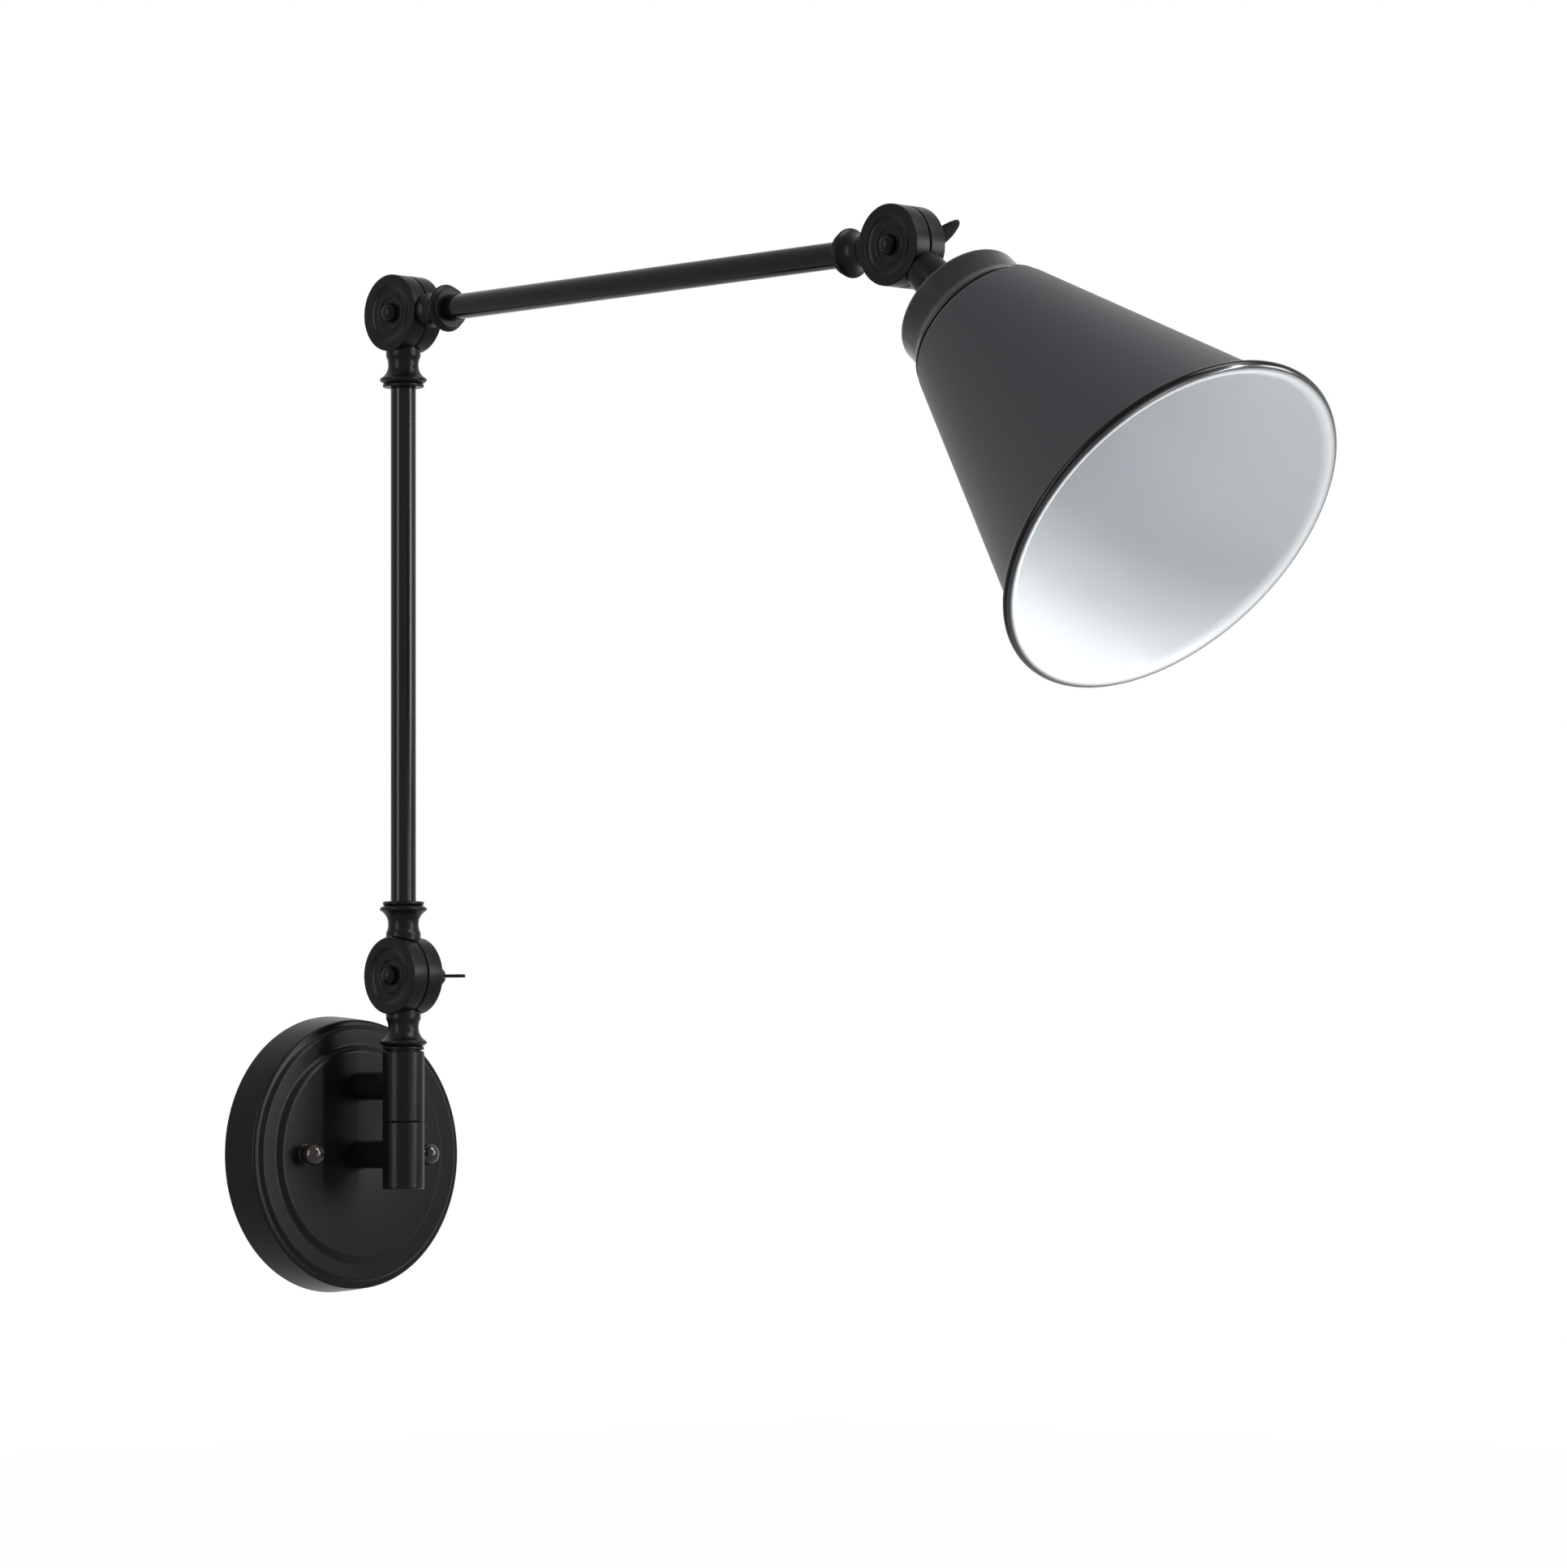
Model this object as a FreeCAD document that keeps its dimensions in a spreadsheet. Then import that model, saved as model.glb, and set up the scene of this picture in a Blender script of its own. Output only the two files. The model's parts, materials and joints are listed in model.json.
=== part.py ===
"""Articulating wall lamp: a round canopy on the wall, two posts that carry an upright swivel sleeve,
a lower and an upper arm joined by three clamped knuckles, and a cone shade with its lamp holder.

Millimetres. +Z is up, the wall is the plane Y = 0, and the lamp stands out from it towards -Y.
The origin is the middle of the canopy's back, on the wall.
"""
import FreeCAD
import Part
import Sketcher

import math
import os
import re

from FreeCAD import Vector

DOC = FreeCAD.newDocument("WallLamp")

# ------------------------------------------------------------------ driving sizes
# name, value in millimetres (degrees for a tilt, a count for a number of sides), what it is
SIZES = [
    ("canopy_radius", 61.0, "canopy, at the wall"),
    ("canopy_wall", 1.2, "sheet thickness of the canopy"),
    ("canopy_side_depth", 15.0, "depth of the side before it rounds over"),
    ("canopy_side_draw", 1.6, "how far the side leans in over that depth"),
    ("canopy_lip_radius", 57.2, "outer step, where the side ends"),
    ("canopy_lip_depth", 18.0, "depth of the outer step"),
    ("canopy_crease_width", 0.9, "crease just inside the outer step"),
    ("canopy_crease_drop", 0.7, "depth of that crease"),
    ("canopy_ring_radius", 53.9, "outer edge of the sloping ring"),
    ("canopy_ring_depth", 19.0, "depth of that edge"),
    ("canopy_bead_radius", 49.6, "inner edge of the sloping ring"),
    ("canopy_groove_radius", 47.0, "bottom of the groove round the centre disc"),
    ("canopy_groove_drop", 1.6, "depth of that groove"),
    ("canopy_disc_radius", 44.2, "flat centre disc"),
    ("canopy_face_depth", 21.2, "face of the centre disc, from the wall"),
    ("bracket_length", 106.0, "mounting bracket, end to end"),
    ("bracket_width", 22.0, "mounting bracket, across"),
    ("bracket_thickness", 2.0, "mounting bracket strip"),
    ("bracket_hole_radius", 5.2, "wire hole in the middle of the bracket"),
    ("box_screw_spacing", 88.9, "junction box screws, centre to centre"),
    ("box_slot_length", 9.0, "slot for a box screw, end to end"),
    ("box_slot_width", 4.6, "slot for a box screw, across"),
    ("stud_spacing", 66.7, "canopy studs, centre to centre"),
    ("stud_radius", 2.0, "canopy stud"),
    ("stud_hole_clearance", 0.3, "canopy hole round a stud"),
    ("stud_nut_flats", 7.0, "lock nut on a stud, across flats"),
    ("stud_nut_height", 3.0, "lock nut on a stud"),
    ("cap_nut_ball_radius", 4.9, "ball of a canopy cap nut"),
    ("cap_nut_base_radius", 4.5, "base of a canopy cap nut"),
    ("cap_nut_base_height", 2.0, "base of a canopy cap nut"),
    ("cap_nut_thread_depth", 6.0, "blind thread in a cap nut"),
    ("ground_screw_offset", 18.0, "ground screw from the middle of the bracket"),
    ("ground_screw_radius", 2.0, "ground screw thread"),
    ("ground_head_radius", 3.9, "ground screw head"),
    ("ground_head_skirt", 1.3, "straight edge of the ground screw head"),
    ("post_spacing", 30.0, "lower post to upper post"),
    ("post_radius", 6.25, "posts between canopy and sleeves"),
    ("post_tail_radius", 4.9, "threaded tail of a post, through the canopy"),
    ("post_tail_length", 8.0, "threaded tail behind the canopy face"),
    ("post_bore_radius", 3.0, "wire way through a post"),
    ("post_nut_flats", 14.0, "nut on a post, across flats"),
    ("post_nut_height", 4.0, "nut on a post"),
    ("grub_radius", 1.5, "grub screw in the side of a post"),
    ("grub_length", 2.4, "grub screw"),
    ("grub_proud", 0.5, "how far the grub screw stands out"),
    ("grub_setback", 1.6, "grub screw edge to the sleeve"),
    ("sleeve_reach", 48.5, "swivel axis, from the wall"),
    ("sleeve_radius", 9.15, "swivel sleeves"),
    ("sleeve_bottom", 15.4, "bottom of the lower sleeve, below the lower post"),
    ("sleeve_seam", 14.0, "seam between the sleeves, above the lower post"),
    ("sleeve_top", 45.0, "top of the upper sleeve, above the lower post"),
    ("sleeve_chamfer", 0.5, "chamfer at each end of a sleeve"),
    ("sleeve_recess_radius", 6.9, "recess for the nut, in the lower sleeve"),
    ("sleeve_recess_depth", 8.0, "recess for the nut, in the lower sleeve"),
    ("spindle_radius", 4.0, "swivel spindle"),
    ("spindle_bore_radius", 2.4, "wire way in the spindle"),
    ("spindle_grip", 10.0, "spindle screwed into the knuckle neck"),
    ("running_clearance", 0.08, "round a shaft that turns"),
    ("thrust_washer_radius", 7.8, "washer on top of the sleeves"),
    ("thrust_washer_height", 0.5, "washer on top of the sleeves"),
    ("spindle_washer_radius", 6.3, "washer under the sleeves"),
    ("spindle_washer_height", 1.0, "washer under the sleeves"),
    ("spindle_nut_flats", 10.8, "nut under the sleeves, across flats"),
    ("spindle_nut_height", 4.6, "nut under the sleeves"),
    ("knuckle_radius", 16.9, "knuckle drums"),
    ("knuckle_half_width", 8.5, "knuckle drum, middle to face"),
    ("knuckle_seam", 0.5, "gap between the two halves of a knuckle"),
    ("knuckle_rim_chamfer", 0.4, "edge of a knuckle face"),
    ("knuckle_bead_radius", 11.7, "raised bead on a knuckle face"),
    ("knuckle_bead_width", 1.7, "raised bead on a knuckle face"),
    ("knuckle_dish_drop", 0.6, "dish inside the bead"),
    ("knuckle_ring_radius", 7.4, "small ring inside the dish"),
    ("knuckle_ring_width", 1.1, "small ring inside the dish"),
    ("knuckle_seat_radius", 4.9, "seat of the bolt head"),
    ("knuckle_seat_drop", 1.2, "seat of the bolt head, below the face"),
    ("knuckle_scoop_clearance", 0.5, "gap between a neck and the other half's drum"),
    ("friction_washer_radius", 15.4, "fibre washer between the halves"),
    ("neck_root", 12.0, "where the neck starts inside its drum"),
    ("neck_shoulder_radius", 7.6, "neck shoulder beside the drum"),
    ("neck_shoulder_distance", 18.9, "neck shoulder, from the knuckle centre"),
    ("neck_waist_radius", 6.7, "neck waist"),
    ("neck_waist_distance", 22.4, "neck waist, from the knuckle centre"),
    ("neck_flange_radius", 10.35, "neck flange"),
    ("neck_flange_distance", 29.2, "neck flange, from the knuckle centre"),
    ("neck_flange_width", 1.5, "neck flange edge"),
    ("neck_groove_radius", 8.3, "groove between flange and end ring"),
    ("neck_ring_radius", 9.1, "end ring of the neck"),
    ("neck_ring_width", 1.5, "end ring of the neck"),
    ("neck_length", 32.5, "knuckle centre to the end of a neck"),
    ("bolt_radius", 2.5, "clamp bolt shank, and half its square neck"),
    ("bolt_head_radius", 4.2, "domed head of a clamp bolt"),
    ("bolt_head_skirt", 1.0, "straight part under the dome"),
    ("bolt_beyond_nut", 0.8, "bolt end beyond the wing nut"),
    ("clamp_washer_radius", 4.6, "washer under a wing nut"),
    ("clamp_washer_height", 1.4, "washer under a wing nut"),
    ("wing_hub_radius", 5.3, "wing nut hub, at its base"),
    ("wing_hub_top_radius", 3.6, "wing nut hub, at its top"),
    ("wing_hub_height", 13.0, "wing nut hub"),
    ("wing_span_radius", 15.8, "wing nut axis to the tip of an ear"),
    ("wing_height", 13.0, "wing nut base to the top of an ear"),
    ("wing_thickness", 1.5, "wing nut ears"),
    ("wing_root_height", 0.8, "where an ear leaves the hub, above its base"),
    ("wing_tip_width", 3.2, "round tip of an ear, along the axis"),
    ("wing_tip_set", 1.2, "round tip of an ear, how far its top leans in"),
    ("tube_radius", 5.55, "arm tubes"),
    ("tube_wall", 1.2, "arm tubes"),
    ("tube_grip", 12.0, "tube let into a neck"),
    ("lower_arm_length", 291.5, "lower knuckle centre to elbow centre"),
    ("upper_arm_length", 310.0, "elbow centre to head knuckle centre"),
    ("shade_tilt", 40.0, "shade axis below the horizontal, degrees"),
    ("head_wing_tilt", 48.5, "ears of the head wing nut above the horizontal, degrees"),
    ("nipple_radius", 4.95, "threaded nipple of the head"),
    ("nipple_bore_radius", 3.6, "wire way in the nipple"),
    ("nipple_grip", 10.0, "nipple screwed into the neck"),
    ("nipple_nut_flats", 14.0, "nut on the nipple, across flats"),
    ("nipple_nut_height", 3.5, "nut on the nipple"),
    ("cap_wall", 1.2, "sheet thickness of the shade cap"),
    ("cap_dome_height", 9.0, "domed back of the shade cap"),
    ("cap_back_radius", 28.6, "back edge of the shade cap"),
    ("cap_edge_round", 3.3, "rounding of that edge"),
    ("cap_neck_radius", 31.6, "shade cap, behind its bead"),
    ("cap_bead_radius", 33.4, "bead at the front of the shade cap"),
    ("cap_bead_width", 2.6, "bead at the front of the shade cap"),
    ("cap_length", 29.9, "shade cap, neck end to the bead's front"),
    ("shade_wall", 1.1, "sheet thickness of the shade"),
    ("shade_hole_clearance", 0.3, "shade hole round the lamp holder"),
    ("shade_top_radius", 31.4, "flat top of the shade"),
    ("shade_shoulder_radius", 34.0, "rounded shoulder of the shade"),
    ("shade_shoulder_height", 2.6, "rounded shoulder of the shade"),
    ("shade_cone_radius", 72.6, "cone of the shade, where the lip starts"),
    ("shade_mouth_radius", 79.3, "lip of the shade"),
    ("shade_lip_height", 5.6, "lip of the shade, along its axis"),
    ("shade_roll", 1.5, "rolled edge of the lip"),
    ("shade_length", 133.6, "flat top to mouth, along the axis"),
    ("holder_radius", 19.6, "lamp holder"),
    ("holder_length", 34.0, "lamp holder"),
    ("holder_boss_radius", 11.0, "boss at the back of the lamp holder"),
    ("holder_boss_height", 5.5, "boss at the back of the lamp holder"),
    ("holder_nipple_depth", 5.0, "nipple let into the lamp holder"),
    ("holder_base", 9.0, "solid back of the lamp holder"),
    ("holder_well_radius", 9.0, "well for the centre contact"),
    ("holder_shelf", 3.0, "shelf under the screw shell, above the floor of the well"),
    ("holder_lip", 1.6, "front rim of the lamp holder, over the screw shell"),
    ("shell_radius", 14.1, "outside of the screw shell"),
    ("shell_wall", 0.7, "screw shell"),
    ("contact_radius", 5.0, "centre contact"),
    ("contact_plate", 0.8, "plate of the centre contact"),
    ("contact_button_radius", 3.0, "button of the centre contact"),
    ("holder_ring_radius", 26.0, "ring that clamps the shade"),
    ("holder_ring_height", 4.0, "ring that clamps the shade"),
    ("holder_ring_flange", 1.6, "flange of that ring"),
    ("holder_ring_collar", 22.6, "collar of that ring"),
]

SHEET = DOC.addObject("Spreadsheet::Sheet", "Sizes")
for row, (alias, amount, note) in enumerate(SIZES, start=1):
    SHEET.set(f"A{row}", note)
    SHEET.set(f"B{row}", str(amount))
    SHEET.setAlias(f"B{row}", alias)
DOC.recompute()

ALIASES = {alias for alias, _, _ in SIZES}

# sizes that follow from others, written once in the sheet's words
KNUCKLE_HEIGHT = "(sleeve_top + thrust_washer_height + neck_length)"
ELBOW_HEIGHT = f"({KNUCKLE_HEIGHT} + lower_arm_length)"
HEAD_REACH = "(sleeve_reach + upper_arm_length)"
INNER_FACE = "(knuckle_seam / 2)"
BOLT_SEAT = "(knuckle_half_width - knuckle_seat_drop)"
WING_BASE = f"({BOLT_SEAT} + clamp_washer_height)"
BOLT_END = f"({WING_BASE} + wing_hub_height + bolt_beyond_nut)"
CAP_BACK = "(neck_length + cap_dome_height)"
CAP_FRONT = "(neck_length + cap_length)"
CAP_SEAT = "(neck_length + cap_wall)"
HOLDER_BACK = f"({CAP_SEAT} + nipple_nut_height)"
HOLDER_FRONT = f"({HOLDER_BACK} + holder_length)"
SHADE_MOUTH = f"({CAP_FRONT} + shade_length)"
HOLDER_FLOOR = f"({HOLDER_BACK} + holder_base)"
HOLDER_SHELF = f"({HOLDER_FLOOR} + holder_shelf)"

THROUGH = 3     # a cut that has to pass right through is this many times what it passes


def words(text):
    """An expression with every name of the sheet spelt out as a reference to it."""
    return re.sub(r"[a-z][a-z_]+", lambda w: f"Sizes.{w[0]}" if w[0] in ALIASES else w[0], str(text))


def amount_of(text):
    """The present value of an expression, as a plain number."""
    result = SHEET.evalExpression(words(text))
    return float(getattr(result, "Value", result))


def bind(thing, prop, text):
    """Tie a property of an object to the sheet."""
    thing.setExpression(prop, words(text))


# ------------------------------------------------------------------ sketches and features
def new_body(name):
    """A PartDesign body whose label names its file."""
    body = DOC.addObject("PartDesign::Body", name)
    body.Label = name
    return body


def plane_of(body, role):
    """One of the body's own origin planes."""
    return next(plane for plane in body.Origin.OriginFeatures if plane.Role == role)


def new_sketch(body, name, role, lift=None):
    """A sketch on an origin plane of its body, lifted off that plane where lift is given."""
    sketch = body.newObject("Sketcher::SketchObject", name)
    sketch.AttachmentSupport = (plane_of(body, role), [""])
    sketch.MapMode = "FlatFace"
    if lift is not None:
        bind(sketch, "AttachmentOffset.Base.z", lift)
    return sketch


def hold(sketch, index, end, across, along):
    """Place one end of a curve by its two coordinates, tied to the sheet."""
    for kind, axis, text in (("DistanceX", -2, across), ("DistanceY", -1, along)):
        if text == "0":
            sketch.addConstraint(Sketcher.Constraint("PointOnObject", index, end, axis))
            continue
        place = Sketcher.Constraint(kind, -1, 1, index, end, amount_of(text))
        number = sketch.addConstraint(place)
        bind(sketch, f"Constraints[{number}]", text)


def arc_between(start, finish, turn):
    """The arc from start to finish that turns through so many degrees, to the left if positive."""
    chord = finish - start
    half = math.radians(abs(turn) / 2)
    radius = chord.Length / (2 * math.sin(half))
    left = Vector(-chord.y, chord.x, 0).normalize() * math.copysign(1, turn)
    centre = (start + finish) * 0.5 + left * (radius * math.cos(half))
    first, last = (start, finish) if turn > 0 else (finish, start)
    angles = [math.atan2((p - centre).y, (p - centre).x) for p in (first, last)]
    return Part.ArcOfCircle(Part.Circle(centre, Vector(0, 0, 1), radius), *angles)


def outline(sketch, corners):
    """A closed outline. A corner is (across, along), or (across, along, turn) where the side that leads
    to it is an arc through so many degrees, to the left if positive."""
    corners = [tuple(corner) + (0,) * (3 - len(corner)) for corner in corners]
    places = [Vector(amount_of(u), amount_of(v), 0) for u, v, _ in corners]
    ends = []
    for number, (across, along, turn) in enumerate(corners):
        start, finish = places[number - 1], places[number]
        if turn:
            index = sketch.addGeometry(arc_between(start, finish, turn))
        else:
            index = sketch.addGeometry(Part.LineSegment(start, finish))
        ends.append((index, 2 if turn >= 0 else 1, 1 if turn >= 0 else 2))
    for number, (across, along, turn) in enumerate(corners):
        index, finish_end, start_end = ends[number]
        before, before_end, _ = ends[number - 1]
        sketch.addConstraint(Sketcher.Constraint("Coincident", before, before_end, index, start_end))
    for number, (across, along, turn) in enumerate(corners):
        index, finish_end, _ = ends[number]
        hold(sketch, index, finish_end, across, along)
    for number, (across, along, turn) in enumerate(corners):
        if turn:
            u0, v0, _ = corners[number - 1]
            ratio = 1 / (2 * math.sin(math.radians(abs(turn) / 2)))
            chord = f"hypot(({across}) - ({u0}); ({along}) - ({v0}))"
            index = ends[number][0]
            size = Sketcher.Constraint("Radius", index, amount_of(f"{chord} * {ratio:.9f}"))
            bind(sketch, f"Constraints[{sketch.addConstraint(size)}]", f"{chord} * {ratio:.9f}")


def ring(sketch, radius, across="0", along="0"):
    """A circle tied to the sheet."""
    centre = Vector(amount_of(across), amount_of(along), 0)
    index = sketch.addGeometry(Part.Circle(centre, Vector(0, 0, 1), amount_of(radius)))
    hold(sketch, index, 3, across, along)
    size = Sketcher.Constraint("Radius", index, amount_of(radius))
    bind(sketch, f"Constraints[{sketch.addConstraint(size)}]", radius)


def revolve(body, name, corners, axis="V_Axis", role="XZ_Plane"):
    """A turned solid: the outline runs round the sketch's upright or level axis."""
    sketch = new_sketch(body, f"{name}_profile", role)
    outline(sketch, corners)
    turned = body.newObject("PartDesign::Revolution", name)
    turned.Profile = sketch
    turned.ReferenceAxis = (sketch, [axis])
    turned.Angle = 360
    sketch.Visibility = False
    return turned


def pad(body, name, sketch, length, both_ways=False):
    """A sketch padded by a length of the sheet, half each way where both_ways is set."""
    block = body.newObject("PartDesign::Pad", name)
    block.Profile = sketch
    bind(block, "Length", length)
    if both_ways:
        block.SideType = "Symmetric"
    return block


def pocket(body, name, sketch, length, reverse=False, both_ways=False):
    """A sketch cut into the solid, with a check that it did cut."""
    DOC.recompute()
    before = body.Shape.Volume
    cut = body.newObject("PartDesign::Pocket", name)
    cut.Profile = sketch
    bind(cut, "Length", length)
    cut.Reversed = reverse
    if both_ways:
        cut.SideType = "Symmetric"
    DOC.recompute()
    if not body.Shape.Volume < before:
        raise ValueError(f"{body.Label}: {name} cuts nothing")
    return cut


def dome(radius, turn):
    """Height of a domed end of that radius whose edge is turned so many degrees from flat."""
    return f"{radius} * {math.tan(math.radians(turn / 2)):.9f}"


def hexagon(sketch, flats, bore, across="0", along="0"):
    """A hexagon across so many millimetres of flats, round a hole."""
    corners = []
    for step in range(6):
        angle = math.radians(60 * step + 30)
        ratio_u, ratio_v = (math.cos(angle) / math.sqrt(3), math.sin(angle) / math.sqrt(3))
        corners.append((f"{across} + {flats} * {ratio_u:.9f}", f"{along} + {flats} * {ratio_v:.9f}"))
    outline(sketch, corners)
    ring(sketch, bore, across, along)


def place(body, across="0", out="0", up="0", tilt="0", spin="0"):
    """Put a body in the lamp: spun about its own Z, tilted about X, then moved. A tilt of 90 degrees
    points its Z away from the wall, and out is the distance from the wall."""
    turned = f"rotation(vector(1; 0; 0); {tilt}) * rotation(vector(0; 0; 1); {spin})"
    bind(body, "Placement", f"placement(vector({across}; -({out}); {up}); {turned})")


# ------------------------------------------------------------------ wall side
def make_canopy():
    """Spun steel cup: a leaning side, a rounded step, a sloping ring, a groove and a flat disc."""
    name = "canopy"
    body = new_body(name)
    back_of_face = "canopy_face_depth - canopy_wall"
    revolve(body, f"{name}_shell", [
        ("canopy_radius", "0"),
        ("canopy_radius - canopy_side_draw", "canopy_side_depth", 8),
        ("canopy_lip_radius", "canopy_lip_depth", 45),
        ("canopy_lip_radius - canopy_crease_width", "canopy_lip_depth - canopy_crease_drop"),
        ("canopy_ring_radius", "canopy_ring_depth", 40),
        ("canopy_bead_radius", "canopy_face_depth", -8),
        ("canopy_groove_radius + canopy_groove_drop / 2", "canopy_face_depth - canopy_groove_drop", 60),
        ("canopy_groove_radius - canopy_groove_drop / 2", "canopy_face_depth - canopy_groove_drop"),
        ("canopy_disc_radius", "canopy_face_depth", 40),
        ("0", "canopy_face_depth"),
        ("0", back_of_face),
        ("canopy_disc_radius - canopy_wall", back_of_face),
        ("canopy_groove_radius - canopy_groove_drop", f"{back_of_face} - canopy_groove_drop"),
        ("canopy_groove_radius + canopy_groove_drop", f"{back_of_face} - canopy_groove_drop"),
        ("canopy_ring_radius", "canopy_ring_depth - 2 * canopy_wall"),
        ("canopy_radius - canopy_side_draw - canopy_wall", "canopy_side_depth - canopy_wall", -30),
        ("canopy_radius - canopy_wall", "0"),
    ])
    holes = new_sketch(body, f"{name}_hole_plan", "XY_Plane")
    ring(holes, "stud_radius + stud_hole_clearance", "stud_spacing / 2", "0")
    ring(holes, "stud_radius + stud_hole_clearance", "-stud_spacing / 2", "0")
    ring(holes, "post_tail_radius", "0", "0")
    ring(holes, "post_tail_radius", "0", "post_spacing")
    pocket(body, f"{name}_holes", holes, f"{THROUGH} * canopy_face_depth", reverse=True)
    place(body, tilt="90")
    return body


def make_bracket():
    """Steel strip across the junction box, with a slot for each box screw and a tapped hole per stud."""
    name = "mounting_bracket"
    body = new_body(name)
    plan = new_sketch(body, f"{name}_plan", "XY_Plane")
    half = "bracket_width / 2"
    end = "(bracket_length - bracket_width) / 2"
    outline(plan, [
        (end, f"-{half}"),
        ("bracket_length / 2", "0", 90),
        (end, half, 90),
        (f"-{end}", half),
        ("-bracket_length / 2", "0", 90),
        (f"-{end}", f"-{half}", 90),
    ])
    ring(plan, "bracket_hole_radius")
    ring(plan, "stud_radius", "stud_spacing / 2", "0")
    ring(plan, "stud_radius", "-stud_spacing / 2", "0")
    ring(plan, "ground_screw_radius", "-ground_screw_offset", "0")
    pad(body, f"{name}_strip", plan, "bracket_thickness")
    slots = new_sketch(body, f"{name}_slot_plan", "XY_Plane")
    for side in ("", "-"):
        middle = f"{side}box_screw_spacing / 2"
        straight = "(box_slot_length - box_slot_width) / 2"
        reach = "box_slot_length / 2"
        edge = "box_slot_width / 2"
        outline(slots, [
            (f"{middle} + {straight}", f"-{edge}"),
            (f"{middle} + {reach}", "0", 90),
            (f"{middle} + {straight}", edge, 90),
            (f"{middle} - {straight}", edge),
            (f"{middle} - {reach}", "0", 90),
            (f"{middle} - {straight}", f"-{edge}", 90),
        ])
    pocket(body, f"{name}_slots", slots, "bracket_thickness", reverse=True)
    place(body, tilt="90")
    return body


def two_along(name, draw, length, lift):
    """A group of two equal pieces padded outwards from a plane at so much depth."""
    body = new_body(name)
    body.AllowCompound = True
    plan = new_sketch(body, f"{name}_plan", "XY_Plane", lift)
    draw(plan)
    pad(body, f"{name}_pair", plan, length)
    place(body, tilt="90")
    return body


def make_studs():
    """Two threaded studs, from the bracket through the canopy into the cap nuts."""
    def plan(sketch):
        ring(sketch, "stud_radius", "stud_spacing / 2", "0")
        ring(sketch, "stud_radius", "-stud_spacing / 2", "0")
    return two_along("canopy_studs", plan, "canopy_face_depth + cap_nut_thread_depth", "0")


def make_stud_nuts():
    """A lock nut on each stud, tight on the bracket."""
    def plan(sketch):
        hexagon(sketch, "stud_nut_flats", "stud_radius", "stud_spacing / 2", "0")
        hexagon(sketch, "stud_nut_flats", "stud_radius", "-stud_spacing / 2", "0")
    return two_along("stud_lock_nuts", plan, "stud_nut_height", "bracket_thickness")


def make_post_nuts():
    """A nut on the tail of each post, tight on the back of the canopy's face."""
    def plan(sketch):
        hexagon(sketch, "post_nut_flats", "post_tail_radius", "0", "0")
        hexagon(sketch, "post_nut_flats", "post_tail_radius", "0", "post_spacing")
    depth = "canopy_face_depth - canopy_wall - post_nut_height"
    return two_along("post_nuts", plan, "post_nut_height", depth)


def make_cap_nuts():
    """Two ball-shaped nuts that hold the canopy: a ball on a small base, with a blind thread."""
    name = "canopy_cap_nuts"
    body = new_body(name)
    body.AllowCompound = True
    foot_angle = 50
    wide = f"cap_nut_ball_radius * {math.cos(math.radians(foot_angle)):.9f}"
    low = f"cap_nut_ball_radius * {math.sin(math.radians(foot_angle)):.9f}"
    centre = f"(cap_nut_base_height + {low})"
    ball = revolve(body, f"{name}_ball", [
        ("0", "cap_nut_thread_depth"),
        ("stud_radius", "cap_nut_thread_depth"),
        ("stud_radius", "0"),
        ("cap_nut_base_radius", "0"),
        ("cap_nut_base_radius", "cap_nut_base_height"),
        (wide, "cap_nut_base_height"),
        ("cap_nut_ball_radius", centre, foot_angle),
        ("0", f"{centre} + cap_nut_ball_radius", 90),
    ])
    pair = body.newObject("PartDesign::LinearPattern", f"{name}_pair")
    pair.Originals = [ball]
    pair.Direction = (ball.Profile[0], ["H_Axis"])
    pair.Occurrences = 2
    bind(pair, "Length", "stud_spacing")
    body.Tip = pair
    place(body, across="-stud_spacing / 2", out="canopy_face_depth", tilt="90")
    return body


def make_ground_screw():
    """Pan head screw for the earth wire, in the bracket."""
    name = "ground_screw"
    body = new_body(name)
    revolve(body, f"{name}_turned", [
        ("0", "0"),
        ("ground_screw_radius", "0"),
        ("ground_screw_radius", "bracket_thickness"),
        ("ground_head_radius", "bracket_thickness"),
        ("ground_head_radius", "bracket_thickness + ground_head_skirt"),
        ("0", f"bracket_thickness + ground_head_skirt + {dome('ground_head_radius', 35)}", 35),
    ])
    place(body, across="-ground_screw_offset", tilt="90")
    return body


def make_post(name, height, hollow):
    """Turned post: a threaded tail through the canopy, and a front end coped to the sleeve."""
    body = new_body(name)
    bore = "post_bore_radius" if hollow else "0"
    tail = "canopy_face_depth - post_tail_length"
    revolve(body, f"{name}_turned", [
        (bore, tail),
        ("post_tail_radius", tail),
        ("post_tail_radius", "canopy_face_depth"),
        ("post_radius", "canopy_face_depth"),
        ("post_radius", "sleeve_reach"),
        (bore, "sleeve_reach"),
    ])
    cope = new_sketch(body, f"{name}_cope_plan", "XZ_Plane")
    ring(cope, "sleeve_radius", "0", "sleeve_reach")
    pocket(body, f"{name}_cope", cope, f"{THROUGH} * post_radius", both_ways=True)
    grub = new_sketch(body, f"{name}_grub_plan", "YZ_Plane", "grub_length - post_radius")
    ring(grub, "grub_radius", "0", GRUB_OUT)
    pocket(body, f"{name}_grub_hole", grub, f"{THROUGH} * grub_length")
    place(body, up=height, tilt="90")
    return body


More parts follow.
